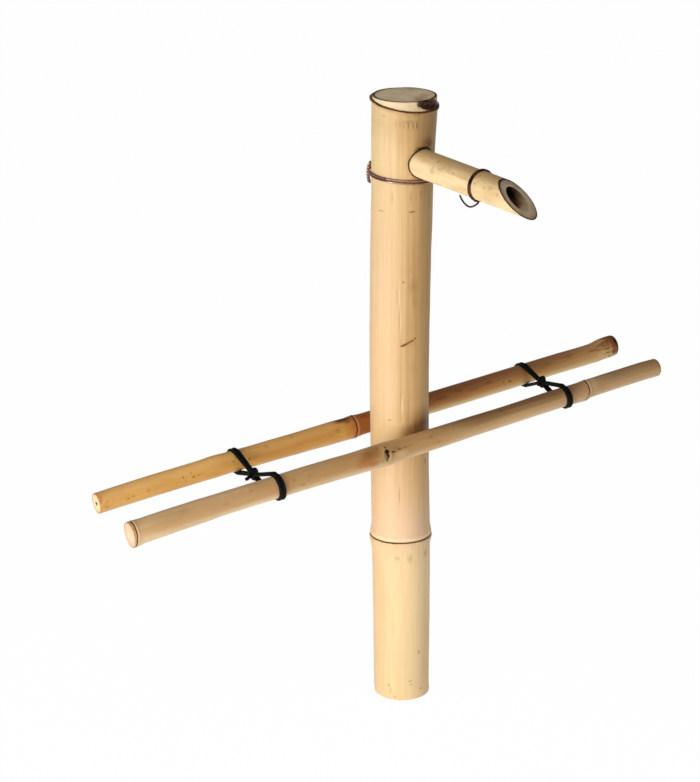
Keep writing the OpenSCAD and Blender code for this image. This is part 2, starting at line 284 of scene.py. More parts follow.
def newGroup(name, inputs, build):
    # a float makes a float input, a tuple or None a vector one; build returns its masks by name
    tree = bpy.data.node_groups.new(name, "ShaderNodeTree")
    for label, value in inputs.items():
        kind = "Float" if isinstance(value, float) else "Vector"
        socket = tree.interface.new_socket(label, in_out="INPUT", socket_type="NodeSocket" + kind)
        if value is not None:
            socket.default_value = value
    masks = build(tree, tree.nodes.new("NodeGroupInput").outputs)
    for label in masks:
        tree.interface.new_socket(label, in_out="OUTPUT", socket_type="NodeSocketFloat")
    fill(tree, tree.nodes.new("NodeGroupOutput"), masks)
    return tree


def useGroup(tree, group, values):
    made = tree.nodes.new("ShaderNodeGroup")
    made.node_tree = group
    return fill(tree, made, values).outputs


def shade(text):
    # a hex colour as the linear colour that the shaders take
    parts = [int(text[k:k + 2], 16) / 255 for k in (1, 3, 5)]
    return [p / 12.92 if p <= 0.04045 else ((p + 0.055) / 1.055) ** 2.4 for p in parts] + [1.0]


def paint(tree, colour, mask, share, tint, blend="MIX"):
    return mixColour(tree, times(tree, mask, share), colour, shade(tint), blend)


def stretched(tree, given):
    scale = addNode(tree, "CombineXYZ", {0: 1.0, 1: 1.0, 2: given["Stretch"]}).outputs[0]
    return vectorMaths(tree, "MULTIPLY", given["Vector"], scale)


def fibreMasks(tree, given):
    # noise stretched along the culm, a broad and a fine one
    vector = stretched(tree, given)
    finer = times(tree, given["Scale"], 4.0)
    return {"Broad": remap(tree, noise(tree, vector, given["Scale"]), 0.36, 0.68),
        "Fine": remap(tree, noise(tree, vector, finer, 2.0), 0.3, 0.7)}


def blotchMask(tree, given):
    # large soft patches
    return {"Mask": remap(tree, noise(tree, stretched(tree, given), given["Scale"], 4.0, 0.6), 0.4, 0.7)}


def speckMask(tree, given):
    # small dark dots at random cells, each a little longer than wide
    cells = addNode(tree, "TexVoronoi", {"Vector": stretched(tree, given), "Scale": given["Scale"]})
    chance = addNode(tree, "SeparateColor", {0: cells.outputs["Color"]}).outputs
    chosen = maths(tree, "GREATER_THAN", chance[0], minus(tree, 1.0, given["Amount"]))
    size = times(tree, given["Size"], remap(tree, chance[1], 0, 1, 0.4, 1, "LINEAR"))
    dot = remap(tree, cells.outputs["Distance"], times(tree, size, 0.4), size, 1.0, 0.0)
    return {"Mask": times(tree, chosen, dot)}


def spotMask(tree, given):
    # one soft mark at a place; the vector comes in already ragged
    away = vectorMaths(tree, "SUBTRACT", given["Vector"], given["Centre"])
    away = vectorMaths(tree, "LENGTH", vectorMaths(tree, "DIVIDE", away, given["Spread"]))
    return {"Mask": remap(tree, away, minus(tree, 1.0, given["Softness"]), 1.0, 1.0, 0.0)}


def sideMask(tree, given):
    # the part of a culm that faces one way between two places, with a ragged edge
    parts = addNode(tree, "SeparateXYZ", {0: given["Vector"]}).outputs
    around = addNode(tree, "CombineXYZ", {0: parts[0], 1: parts[1]}).outputs[0]
    facing = addNode(tree, "VectorMath", {0: vectorMaths(tree, "NORMALIZE", around), 1: given["Facing"]},
        operation="DOT_PRODUCT").outputs["Value"]
    along = plus(tree, parts[2], times(tree, given["Ragged"], 0.012))
    after, before = (remap(tree, along, minus(tree, given[end], given["Feather"]),
        plus(tree, given[end], given["Feather"]), low, 1.0 - low)
        for end, low in (("Start", 0.0), ("End", 1.0)))
    turned = remap(tree, plus(tree, facing, given["Ragged"]), given["Low"], given["High"])
    return {"Mask": times(tree, times(tree, after, before), turned)}


def ringMasks(tree, given):
    # a thin dark line at a node's ring, a soft stain on both sides of it and a pale ridge beside it, which
    # is a painted highlight; at the spout's hole and root the line and stain are painted shade of the gap on
    # a dark edge
    line = given["Line"]
    wobble = times(tree, minus(tree, noise(tree, given["Vector"], 260.0, 3.0), 0.5), 0.0007)
    moved = plus(tree, given["Distance"], wobble)
    away = maths(tree, "ABSOLUTE", moved)
    patchy = remap(tree, noise(tree, given["Vector"], 120.0, 4.0), 0.3, 0.7, 0.25, 1.0)
    rise = remap(tree, moved, times(tree, line, 0.7), times(tree, line, 1.6))
    fall = remap(tree, moved, times(tree, line, 2.4), times(tree, line, 4.5), 1.0, 0.0)
    return {"Line": remap(tree, away, times(tree, line, 0.45), line, 1.0, 0.0),
        "StainAndShade": times(tree, patchy, remap(tree, away, 0.0, given["StainAndShade"], 1.0, 0.0)),
        "RidgeHighlight": times(tree, rise, fall)}


def cutMasks(tree, given):
    # ends of the fibre bundles, close together near the bark, and the darker rim
    cells = addNode(tree, "TexVoronoi", {"Vector": given["Vector"], "Scale": given["Scale"]})
    dots = remap(tree, cells.outputs["Distance"], 0.15, 0.45, 1.0, 0.0)
    wobble = times(tree, minus(tree, noise(tree, given["Vector"], 500.0), 0.5), 0.05)
    rim = plus(tree, given["Radial"], wobble)
    return {"Bundles": times(tree, dots, remap(tree, given["Radial"], 0.35, 0.95)),
        "Rim": remap(tree, rim, given["Start"], plus(tree, given["Start"], 0.05))}


fibreGroup = newGroup("fibres", {"Vector": None, "Scale": 400.0, "Stretch": 0.03}, fibreMasks)
blotchGroup = newGroup("blotches", {"Vector": None, "Scale": 30.0, "Stretch": 0.4}, blotchMask)
speckGroup = newGroup("specks", {"Vector": None, "Scale": 150.0, "Stretch": 0.5, "Size": 0.2, "Amount": 0.1},
    speckMask)
spotGroup = newGroup("spot", {"Vector": None, "Centre": None, "Spread": (1, 1, 1), "Softness": 0.5},
    spotMask)
sideGroup = newGroup("side", {"Vector": None, "Facing": (1, 0, 0), "Low": 0.0, "High": 1.0, "Start": 0.0,
    "End": 1.0, "Feather": 0.02, "Ragged": 0.0}, sideMask)
ringGroup = newGroup("nodeRing", {"Vector": None, "Distance": 0.0, "Line": 0.0006, "StainAndShade": 0.006},
    ringMasks)
cutGroup = newGroup("cutFace", {"Vector": None, "Radial": 0.5, "Scale": 1500.0, "Start": 0.9}, cutMasks)


def startMaterial(name):
    material = bpy.data.materials.new(name)
    material.use_nodes = True
    tree = material.node_tree
    return material, tree, tree.nodes["Principled BSDF"]


def culmVector(tree, culm):
    # object coordinates turned into the culm's own frame, Z along it
    mapping = addNode(tree, "Mapping", {"Vector": objectPlace(tree)}, vector_type="TEXTURE")
    mapping.inputs["Location"].default_value = [v * mm for v in culm["origin"]]
    mapping.inputs["Rotation"].default_value = Matrix(culm["axes"].tolist()).to_euler("XYZ")
    return mapping.outputs[0]


def colourRamp(tree, value, stops):
    ramp = addNode(tree, "ValToRGB", {0: value})
    while len(ramp.color_ramp.elements) < len(stops):
        ramp.color_ramp.elements.new(0.5)
    for element, (place, colour) in zip(ramp.color_ramp.elements, stops):
        element.position, element.color = place, shade(colour)
    return ramp.outputs[0]


def readAttribute(tree, name):
    return addNode(tree, "Attribute", attribute_name=name).outputs["Fac"]


# Marks: rows of x, y, z, half width, half height, tint, strength and softness, in the culm's own frame
smallMark, cloudyMark = 1.45, 0.92


def addMarks(tree, vector, colour, marks):
    # torn by one noise, small and cloudy ones less
    warp = addNode(tree, "TexNoise", {"Vector": vector, "Scale": 420.0, "Detail": 3.0, "Roughness": 0.65})
    warp = vectorMaths(tree, "SUBTRACT", warp.outputs["Color"], (0.5, 0.5, 0.5))
    torn = vectorMaths(tree, "MULTIPLY_ADD", warp, (0.0026, 0.0026, 0.0034), vector)
    crisp = vectorMaths(tree, "MULTIPLY_ADD", warp, (0.0008, 0.0008, 0.0011), vector)
    for x, y, z, wide, tall, tint, strength, softness in marks:
        neat = min(wide, tall) < smallMark or softness > cloudyMark
        spot = useGroup(tree, spotGroup, {"Vector": crisp if neat else torn, "Softness": softness,
            "Centre": [x * mm, y * mm, z * mm], "Spread": [wide * mm, wide * mm, tall * mm]})[0]
        colour = paint(tree, colour, spot, strength, tint)
    return colour


def barkMaterial(name, culm, look):
    # culm bark: colour along the culm and round it, fibres, blotches, specks, node rings and single marks;
    # the colour round it holds painted light and shade on the lit and shaded sides
    material, tree, shader = startMaterial(name)
    vector = culmVector(tree, culm)
    along = addNode(tree, "SeparateXYZ", {0: vector}).outputs[2]
    low, high = (v * mm for v in look["span"])
    colour = colourRamp(tree, remap(tree, along, low, high, kind="LINEAR"), look["ramp"])
    fibres = useGroup(tree, fibreGroup, {"Vector": vector, "Scale": look["fibreScale"], "Stretch": 0.02})
    blotches = useGroup(tree, blotchGroup, {"Vector": vector, "Scale": look["blotchScale"],
        "Stretch": 0.3})[0]
    ragged = times(tree, minus(tree, plus(tree, fibres[0], blotches), 1.0), 0.14)
    for turn, reach, start, end, feather, tint, strength in look["sides"]:
        mask = useGroup(tree, sideGroup, {"Vector": vector, "Facing": [math.cos(math.radians(turn)),
            math.sin(math.radians(turn)), 0], "Low": reach[0], "High": reach[1], "Start": start * mm,
            "End": end * mm, "Feather": feather * mm, "Ragged": ragged})[0]
        colour = paint(tree, colour, mask, strength, tint)
    colour = paint(tree, colour, blotches, look["blotch"], look["blotchColour"])
    for fibre, share in ((fibres[0], look["broad"]), (fibres[1], look["fine"])):
        colour = paint(tree, colour, fibre, share, look["fibreColour"], "MULTIPLY")
    specks = useGroup(tree, speckGroup, {"Vector": vector, "Scale": look["speckScale"], "Size": 0.2,
        "Amount": look["specks"]})[0]
    colour = paint(tree, colour, specks, 0.6, look["speckColour"])
    marked = 0.0
    # each ring paints its stain, its pale ridge as a painted highlight, and its dark line
    for ring in look["rings"]:
        line, stain, ridgeHighlight = useGroup(tree, ringGroup, {"Vector": vector, "Line": ring["line"] * mm,
            "Distance": readAttribute(tree, ring["attribute"]), "StainAndShade": ring["stain"] * mm})
        for mask, share, tint in ((stain, "stainedAndShaded", "stainAndShadeColour"), (ridgeHighlight, "highlighted", "highlightColour"),
                (line, "drawn", "lineColour")):
            colour = paint(tree, colour, mask, ring[share], ring[tint])
        marked = maths(tree, "MAXIMUM", marked, line)
    colour = addMarks(tree, vector, colour, look["marks"])
    rough = remap(tree, fibres[0], 0, 1, *look["rough"], "LINEAR")
    height = plus(tree, times(tree, fibres[0], 0.6), times(tree, fibres[1], 0.35))
    fill(tree, shader, {"Base Color": colour, "Roughness": plus(tree, rough, times(tree, marked, 0.2)),
        "Normal": bumped(tree, height, 0.4, look["bump"]), "Specular IOR Level": 0.22})
    return material


def cutMaterial(name, culm, look):
    # sawn face: colour from the pith to the bark, saw marks one way, bundle ends and a dark rim
    material, tree, shader = startMaterial(name)
    vector = culmVector(tree, culm)
    radial = readAttribute(tree, "radial")
    colour = colourRamp(tree, radial, look["ramp"])
    sawn = addNode(tree, "Mapping", {"Vector": vector, "Rotation": (0, 0, math.radians(look["sawTurn"])),
        "Scale": (0.06, 1, 1)}).outputs[0]
    lines = remap(tree, noise(tree, sawn, look["sawScale"], 3.0, 0.65), 0.34, 0.66)
    colour = paint(tree, colour, lines, look["sawn"], look["sawColour"])
    patches = useGroup(tree, blotchGroup, {"Vector": vector, "Scale": look["patchScale"], "Stretch": 1.0})[0]
    colour = paint(tree, colour, patches, look["patches"], look["patchColour"])
    colour = addMarks(tree, vector, colour, look.get("marks", []))
    cut = useGroup(tree, cutGroup, {"Vector": vector, "Radial": radial, "Start": look["rimStart"]})
    colour = paint(tree, colour, cut[0], look["bundles"], look["rimColour"])
    colour = paint(tree, colour, cut[1], look["rim"], look["rimColour"])
    fill(tree, shader, {"Base Color": colour, "Roughness": remap(tree, lines, 0, 1, 0.6, 0.78, "LINEAR"),
        "Normal": bumped(tree, plus(tree, lines, times(tree, cut[0], 0.6)), 0.5, 0.15),
        "Specular IOR Level": 0.25})
    return material


def insideMaterial(name, culm, look):
    # pale inner wall of a culm; in the spout's bore it goes from pale at the mouth through a brown stain to
    # black deeper in, painted shade of the bore
    material, tree, shader = startMaterial(name)
    vector = culmVector(tree, culm)
    fibres = useGroup(tree, fibreGroup, {"Vector": vector, "Scale": 500.0, "Stretch": 0.04})
    colour = mixColour(tree, fibres[0], shade(look["pale"]), shade(look["dark"]))
    stain = useGroup(tree, blotchGroup, {"Vector": vector, "Scale": 90.0, "Stretch": 0.5})[0]
    colour = paint(tree, colour, stain, 0.6, look["stain"])
    if "deep" in look:
        depth = plus(tree, readAttribute(tree, "deep"), times(tree, minus(tree, stain, 0.5), 0.003))
        boreShadeAndStain = colourRamp(tree, remap(tree, depth, 0.0, look["deep"] * mm, kind="LINEAR"), look["ramp"])
        colour = mixColour(tree, 0.8, colour, boreShadeAndStain)
        shader.inputs["Specular IOR Level"].default_value = 0.15
    fill(tree, shader, {"Base Color": colour, "Roughness": remap(tree, fibres[1], 0, 1, 0.6, 0.8, "LINEAR"),
        "Normal": bumped(tree, fibres[0], 0.5, 0.12)})
    return material


print("shader groups ready")

# Post: millimetres, angles in degrees, -30 is the camera's right and -120 faces the camera
post = {"height": 457.0, "footR": 20.4, "straightR": 21.3, "narrow": 0.9, "narrowTo": 127, "flare": 2.1,
    "flareFrom": 365, "flareCurve": 1.15, "topR": 23.4, "rimEdge": 0.6, "footEdge": 1.1, "around": 224,
    "low": 128.0, "lowLean": 0.1, "ringDrop": 3.9, "ringSlope": 9.5, "ringTurn": -72.0,
    "scar": {"turn": -68.5, "z": 453.3, "halfWide": 11.6, "halfTall": 3.9, "lean": 0.2, "radius": 23.3,
        "shape": [(-1.9, 0, 0.62), (0.45, 1.0, 0.2)], "wrinkle": 0.24, "wrinkles": 17},
    "lowNode": [(0.85, 1.6, 4.4), (0.95, -2.4, 3.6), (-0.75, 0, 0.45)], "swellTurn": 150,
    "lowSwell": (0.7, -6.5, 4.5), "topSwell": (1.05, 0.6, -0.95, 0.9),
    "topNode": [(0.3, 1.3, 0.8), (-0.4, 0.1, 0.4)], "neck": 0.85,
    "bow": [(0, 0.95), (8, 0.45), (30, 0.35), (60, 0.3), (90, 0.05), (130, -0.5), (163, -1.05),
        (182, -1.45), (251, -2.0), (281, -1.9), (310, -1.55), (340, -1.2), (370, -0.45), (392, -0.05),
        (425, 0.6), (446, 0.5), (460, 0.5)],
    "oval": [(0, 0), (135, 0), (175, -0.2), (250, 0), (281, 0.3), (310, 0.42), (340, 0.65), (365, 0.8),
        (392, 0.2), (420, 0.1), (460, 0.1)], "flareShift": 1.2, "footHollow": 14.6, "hollow": 15.5,
    "partition": (124.5, 129.5), "hoseHole": 6.95, "ceiling": 445.0, "spoutHole": 10.45,
    "drill": (11.0, 40.0)}

postLook = {"span": (0, 457), "fibreScale": 330.0, "broad": 0.06, "fine": 0.06, "fibreColour": "#B98A55",
    "ramp": [(0.0, "#F3D5A1"), (0.25, "#F1D09E"), (0.3, "#EBC8A4"), (0.5, "#E7C598"), (0.78, "#E3C193"),
        (0.86, "#E6C796"), (0.93, "#E9CB99"), (0.965, "#DCBD8C"), (0.984, "#E0C494"), (1.0, "#E4CA9C")],
    # sides: painted shade on the shaded right side (-62 from 150 up, -45 from 190 up) and painted shadow of
    # the front cane on the post just above it (-55, -85); painted light on the lit left side below 300
    # (170), on the foot toward the right (-50) and just above the front cane on the left (-150); -88 lays a
    # brown patch on the right, and -40 from 395 and -62 from 425 darken the top's right
    "sides": [(-62, (-0.1, 0.75), 150, 460, 30, "#D6AE74", 0.78),
        (-45, (0.55, 1.0), 190, 460, 40, "#C09A60", 0.5),
        (-88, (0.72, 0.98), 190, 370, 30, "#C4985C", 0.55), (170, (0.3, 1.0), 0, 300, 60, "#F0C795", 0.6),
        (-50, (0.4, 1.0), -20, 112, 14, "#FFE4B4", 0.6), (-40, (0.15, 0.9), 395, 470, 26, "#8E6626", 0.68),
        (-55, (0.3, 0.9), 209, 226, 9, "#743E06", 0.78), (-62, (-0.4, 0.9), 425, 458, 12, "#C9A26C", 0.46),
        (-85, (0.2, 0.95), 209, 217, 4, "#9E6626", 0.5), (-150, (0.66, 1.0), 204, 220, 6, "#FFDA9A", 0.8)],
    "blotchScale": 26.0, "blotch": 0.2, "blotchColour": "#DDB27C", "speckScale": 160.0, "specks": 0.012,
    "speckColour": "#8A5A2C", "rough": (0.42, 0.55), "bump": 0.08,
    # the seam ring round the spout's hole: its dark line and soft stain are painted shade of the gap, on the
    # hole's dark edge
    "rings": [{"attribute": "seam", "line": 0.8, "stain": 3.5, "stainedAndShaded": 0.4, "stainAndShadeColour": "#8A5A2C",
            "drawn": 0.96, "lineColour": "#341406", "highlighted": 0.0, "highlightColour": "#F6E0B8"},
        {"attribute": "lowRing", "line": 0.85, "stain": 5.0, "stainedAndShaded": 0.3, "stainAndShadeColour": "#D09A5C",
            "drawn": 0.95, "lineColour": "#6A3812", "highlighted": 0.55, "highlightColour": "#FAE6BE"},
        {"attribute": "topRing", "line": 0.64, "stain": 4.0, "stainedAndShaded": 0.55, "stainAndShadeColour": "#96602E",
            "drawn": 0.95, "lineColour": "#4A200C", "highlighted": 0.6, "highlightColour": "#EBD3A8"}],
    # the first mark, pale at the right end of the top ring, is a painted highlight
    "marks": [(20.6, -12.4, 448.4, 1.3, 2.2, "#E2D6DA", 0.75, 0.8),
        (-21.2, -6.9, 377.9, 3.6, 0.7, "#B27A3A", 0.7, 0.6),
        (-4.0, -21.3, 378.3, 3.2, 0.75, "#7A5A24", 0.9, 0.6),
        (-7.6, -21.7, 440.8, 0.75, 4.4, "#6E5230", 0.6, 0.8),
        (-4.6, -22.6, 440.6, 0.75, 4.8, "#6E5230", 0.65, 0.8),
        (-1.6, -23.2, 440.4, 0.85, 4.6, "#5E4426", 0.7, 0.8),
        (-12.6, -18.8, 441.1, 0.8, 4.2, "#8A6A40", 0.35, 0.95),
        (-14.8, -17.0, 441.6, 0.8, 4.0, "#8A6A40", 0.35, 0.95),
        (-10.3, -20.3, 440.5, 0.8, 4.4, "#8A6A40", 0.45, 0.95),
        (-7.2, -21.9, 443.1, 8.0, 2.4, "#9A7A4C", 0.35, 0.95),
        (-1.8, -24.1, 448.0, 3.8, 0.9, "#8F6C3D", 0.55, 0.8),
        (-20.1, -9.5, 446.4, 3.0, 0.9, "#A8844F", 0.4, 0.8),
        (-16.4, -14.6, 388.5, 1.0, 7.0, "#B98A50", 0.4, 0.9),
        (-5.1, -21.2, 388.6, 1.2, 8.0, "#A9783F", 0.45, 0.9),
        (2.8, -21.6, 390.9, 1.0, 6.0, "#97713C", 0.45, 0.9),
        (10.9, -18.6, 383.9, 1.6, 9.0, "#8A7E44", 0.5, 0.9),
        (7.7, -21.5, 427.0, 6.6, 6.0, "#8C5C1C", 0.65, 0.97),
        (10.5, -20.3, 425.4, 4.6, 4.0, "#703E0C", 0.65, 0.97),
        (-0.0, -22.6, 423.2, 4.4, 2.6, "#74401E", 0.7, 0.97),
        # a dark arc along the top of the spout's root: the hole's dark edge with painted shade of the gap
        (-1.4, -22.5, 422.0, 2.4, 1.0, "#2A140A", 0.85, 0.8),
        (1.5, -22.5, 423.2, 2.8, 1.3, "#24100A", 0.95, 0.7),
        (4.5, -22.2, 423.5, 3.0, 1.5, "#200E08", 1.0, 0.6),
        (7.4, -21.5, 422.9, 3.0, 1.5, "#200E08", 1.0, 0.6),
        (9.9, -20.3, 421.4, 2.6, 1.3, "#24100A", 0.95, 0.7),
        (11.7, -19.3, 419.5, 2.0, 1.2, "#2A140A", 0.8, 0.8),
        (-17.8, -13.9, 223.4, 1.6, 0.9, "#B98B50", 0.7, 0.7),
        (9.3, -18.4, 188.2, 0.8, 3.0, "#5E4520", 0.85, 0.6),
        (-11.8, -18.8, 241.3, 0.5, 6.0, "#9A7442", 0.4, 0.9),
        (-12.0, -18.1, 165.1, 0.45, 11.0, "#8E6A3A", 0.6, 0.8),
        (-4.2, -20.8, 115.0, 3.4, 5.0, "#C2A26C", 0.5, 0.95),
        (9.7, -18.7, 115.9, 3.4, 4.0, "#B89660", 0.5, 0.95),
        (-13.0, -16.8, 115.5, 3.4, 3.0, "#C0A06C", 0.5, 0.95),
        (3.5, -20.2, 38.0, 1.6, 2.6, "#B98A52", 0.7, 0.95),
        (-3.6, -20.0, 15.8, 2.0, 0.8, "#B88F58", 0.7, 0.8),
        (-2.4, -20.1, 12.7, 2.0, 0.8, "#C09A64", 0.7, 0.8),
        (-16.8, -11.1, 11.9, 1.2, 1.6, "#A88450", 0.7, 0.8),
        (-15.8, -12.4, 7.8, 1.0, 4.0, "#C9A46C", 0.7, 0.9),
        (-13.6, -14.6, 3.0, 2.6, 1.6, "#C48A5C", 0.6, 0.9),
        (6.2, -19.5, 7.6, 3.0, 1.6, "#C49C64", 0.6, 0.9),
        (-10.7, -19.5, 279.8, 1.9, 0.8, "#5A3408", 0.95, 0.45),
        (-9.3, -20.0, 280.5, 1.9, 0.8, "#4E2C06", 0.95, 0.45),
        (-7.9, -20.4, 281.2, 1.9, 0.85, "#4A2A06", 0.95, 0.45),
        (-6.5, -20.8, 281.9, 1.9, 0.85, "#4A2A06", 0.95, 0.45),
        (-5.0, -21.1, 282.6, 1.9, 0.8, "#4E2C06", 0.95, 0.45),
        (-3.5, -21.3, 283.3, 1.8, 0.8, "#5E4218", 0.9, 0.45),
        (-1.2, -21.3, 284.5, 1.5, 0.8, "#6A4A18", 0.85, 0.5),
        (-5.7, -21.0, 282.1, 6.5, 4.2, "#B8904F", 0.4, 0.9),
        (-2.7, -21.3, 323.0, 5.5, 10.0, "#B0854A", 0.55, 0.95),
        (-1.9, -21.3, 312.0, 4.0, 8.0, "#B58A50", 0.5, 0.95),
        (-10.0, -19.6, 327.0, 1.1, 1.0, "#8A6636", 0.75, 0.7),
        (-4.8, -21.1, 336.1, 3.4, 6.0, "#BE9458", 0.4, 0.95),
        (-13.9, -17.6, 316.4, 0.7, 12.0, "#A8804A", 0.42, 0.9),
        (-12.8, -18.3, 298.3, 0.7, 13.0, "#A8804A", 0.45, 0.9),
        (-11.9, -18.8, 281.3, 0.7, 10.0, "#B08A54", 0.35, 0.9),
        (-12.6, -18.4, 316.4, 0.7, 12.0, "#F4E0B8", 0.4, 0.9),
        (-11.6, -19.0, 298.3, 0.7, 13.0, "#F4E0B8", 0.4, 0.9),
        (-2.6, -21.3, 262.1, 4.6, 9.0, "#BE9458", 0.4, 0.95),
        (-10.6, -19.4, 234.3, 1.2, 12.0, "#F2DCB0", 0.45, 0.95),
        (-6.2, -20.8, 232.2, 0.6, 10.0, "#A8824C", 0.45, 0.9)]}

topLook = {"ramp": [(0.0, "#E6CEA4"), (0.7, "#E4CBA0"), (0.9, "#D6BA8C"), (1.0, "#A8804E")],
    "sawTurn": 30.0, "sawScale": 420.0, "sawn": 0.4, "sawColour": "#F0E4C8", "patchScale": 60.0,
    "patches": 0.5, "patchColour": "#B39A70", "bundles": 0.15, "rimColour": "#3A1A08", "rim": 0.97,
    "rimStart": 0.895,
    "marks": [(7.5, -13.5, 457, 8.0, 4.0, "#A0805A", 0.5, 0.9),
        (14.0, 14.0, 457, 5.0, 4.0, "#A88E68", 0.5, 0.9), (13.0, -8.0, 457, 6.0, 4.0, "#8A7048", 0.5, 0.9),
        (-3.0, -8.0, 457, 9.0, 4.0, "#E6D6B2", 0.35, 0.9),
        (3.0, -17.0, 457, 5.0, 3.0, "#7A5A34", 0.5, 0.9)]}
postInside = {"pale": "#D9BE8C", "dark": "#BE9C68", "stain": "#A88452"}


def lowRingAt(a):
    return post["low"] + post["lowLean"] * np.cos(a - cameraRight) + 0.12 * np.sin(3 * a + 0.7)


def topRingAt(a):
    slope = math.tan(math.radians(post["ringSlope"]))
    dip = slope * post["topR"] * np.cos(a - math.radians(post["ringTurn"]))
    return post["height"] - post["ringDrop"] - dip + 0.15 * np.sin(2 * a + 0.4)


def scarSpread(z, a):
    # 0 at the middle of the leaning branch scar and 1 on its lip
    scar = post["scar"]
    across = wrapAngle(a - math.radians(scar["turn"])) * scar["radius"]
    return np.hypot(across / scar["halfWide"], (z - scar["z"] + scar["lean"] * across) / scar["halfTall"])


def postRadius(z, a):
    # straight middle, narrowing foot, widening top, a swelling and a groove at each ring, the branch scar
    low, flared = post["footR"] + post["narrow"] * z / post["narrowTo"], post["height"] - post["flareFrom"]
    flare = post["flare"] * np.clip((z - post["flareFrom"]) / flared, 0, 1) ** post["flareCurve"]
    r = np.where(z < post["narrowTo"], low, post["straightR"]) + flare
    r = r + easeThrough(z, post["oval"]) * np.cos(a) ** 2
    r = r + 0.1 * np.sin(2 * a + 1.3 + z / 90) + 0.05 * np.sin(5 * a - z / 50)
    d = z - lowRingAt(a)
    r = addHumps(r, d, post["lowNode"])
    swollen = np.clip(np.cos(a - math.radians(post["swellTurn"])), 0, 1) ** 2
    height, middle, width = post["lowSwell"]
    r = r + height * swollen * hump(d, middle, width)
    d = z - topRingAt(a)
    height, more, middle, width = post["topSwell"]
    r = r + (height + more * swollen) * hump(d, middle, width)
    r = addHumps(r, d, post["topNode"])
    r = r - post["neck"] * np.maximum(ease(d, -0.2, 1.5), ease(z, 455.6, 456.4))
    spread = scarSpread(z, a)
    scar = post["scar"]
    r = addHumps(r, spread, scar["shape"])
    return r + scar["wrinkle"] * np.cos(spread * scar["wrinkles"] + 2 * np.sin(3 * a + z)) * (spread < 1)


def postCentre(z):
    shift = post["flareShift"] * ease(z, 418, 457)
    return easeThrough(z, post["bow"]) + shift * math.cos(cameraRight), shift * math.sin(cameraRight)


def makePost():
    h, rim, foot = post["height"], post["rimEdge"], post["footEdge"]
    quarter = np.radians(np.linspace(0, 90, 6))
    wall = np.concatenate([stations(2.2, h - 12, 3.0, [post["low"]], 0.35),
        np.arange(h - 12, h - rim - 0.15, 0.33)])
    low, high = post["partition"]
    share = np.linspace(1, 0, 6)
    profile = np.concatenate([
        band(np.full(24, h), h - rim, np.linspace(0.04, 0.985, 24), rim),
        band(h - rim * (1 - np.cos(quarter)), h - rim, 1, rim * (1 - np.sin(quarter))),
        band(wall[::-1]),
        band(foot * (1 - np.sin(quarter)), foot, 1, foot * (1 - np.cos(quarter))),
        band(0 * share[1:], foot, share[1:], foot, (1 - share[1:]) * (post["footHollow"] + 0.5)),
        band([0.15, 0.5], scale=0, fixed=[post["footHollow"] + 0.15, post["footHollow"]]),
        band(np.linspace(1.5, low - 1.5, 14), scale=0, fixed=post["footHollow"]),
        band([low - 0.5, low, low], scale=0, fixed=[14.45, 14.0, 13.0]),
        band([low, low, low + 0.4], scale=0, fixed=[9.0, 7.35, post["hoseHole"]]),
        band([high - 0.4, high, high], scale=0, fixed=[post["hoseHole"], 7.35, 9.0]),
        band([high, high + 0.1, high + 0.8], scale=0, fixed=[14.0, 15.0, post["hollow"]]),
        band(np.linspace(high + 3, post["ceiling"] - 1.5, 20), scale=0, fixed=post["hollow"]),
        band([post["ceiling"] - 0.4, post["ceiling"], post["ceiling"]], scale=0, fixed=[15.3, 14.6, 7.0])])
    rings, _ = culmRings(profile, post["around"], postRadius, postCentre, postCulm)
    mesh = closedSurface("bambooPost", rings, poleOf(h, postCentre, postCulm),
        poleOf(post["ceiling"], postCentre, postCulm))
    body = bpy.data.objects.new("bambooPostWhole", mesh)
    drill = band(np.linspace(*post["drill"], 4), scale=0, fixed=post["spoutHole"])
    cutRings, _ = culmRings(drill, 96, lambda x, a: 0 * x, lambda x: (0 * x, 0 * x), spoutCulm)
    ends = (spoutCulm["origin"] + spoutCulm["axes"] @ [0, 0, x] for x in post["drill"])
    cutter = bpy.data.objects.new("spoutDrill", closedSurface("spoutDrill", cutRings, *ends))
    for made in (body, cutter):
        scene.collection.objects.link(made)
    drilled = body.modifiers.new("spoutHole", "BOOLEAN")
    drilled.operation, drilled.solver, drilled.object = "DIFFERENCE", "EXACT", cutter
    result = bpy.data.meshes.new_from_object(body.evaluated_get(bpy.context.evaluated_depsgraph_get()))
    result.name = "bambooPost"
    for made in (body, cutter):
        bpy.data.objects.remove(made)
    result.materials.clear()
    points = pointsOf(result)
    side, up = postCentre(points[:, 2])
    a = np.arctan2(points[:, 1] - up, points[:, 0] - side)
    r = np.hypot(points[:, 0] - side, points[:, 1] - up)
    outer = postRadius(points[:, 2], a)
    away = 30.0 * (r < outer - 2.5)                    # inner faces take no ring lines
    addAttribute(result, "lowRing", (points[:, 2] - lowRingAt(a) + away) * mm)
    addAttribute(result, "topRing", (points[:, 2] - topRingAt(a) + away) * mm)
    addAttribute(result, "scar", scarSpread(points[:, 2], a) + away)
    addAttribute(result, "radial", r / outer)
    local = toLocal(points, spoutCulm)
    drilledAway = np.hypot(local[:, 0], local[:, 1]) - post["spoutHole"]
    addAttribute(result, "seam", np.where(local[:, 2] > 5, drilledAway + away, 30) * mm)
    centres, normals = facesOf(result)
    side, up = postCentre(centres[:, 2])
    r = np.hypot(centres[:, 0] - side, centres[:, 1] - up)
    inside = r < postRadius(centres[:, 2], np.arctan2(centres[:, 1] - up, centres[:, 0] - side)) - 1.5
    index = np.where(inside, 2, 0)
    index[(np.abs(normals[:, 2]) > 0.75) & ((centres[:, 2] > h - 0.3) | (centres[:, 2] < 0.3))] = 1
    result.polygons.foreach_set("material_index", index.astype(np.int32))
    result.polygons.foreach_set("use_smooth", np.ones(len(result.polygons), bool))
    result.set_sharp_from_angle(angle=math.radians(48))
    return result


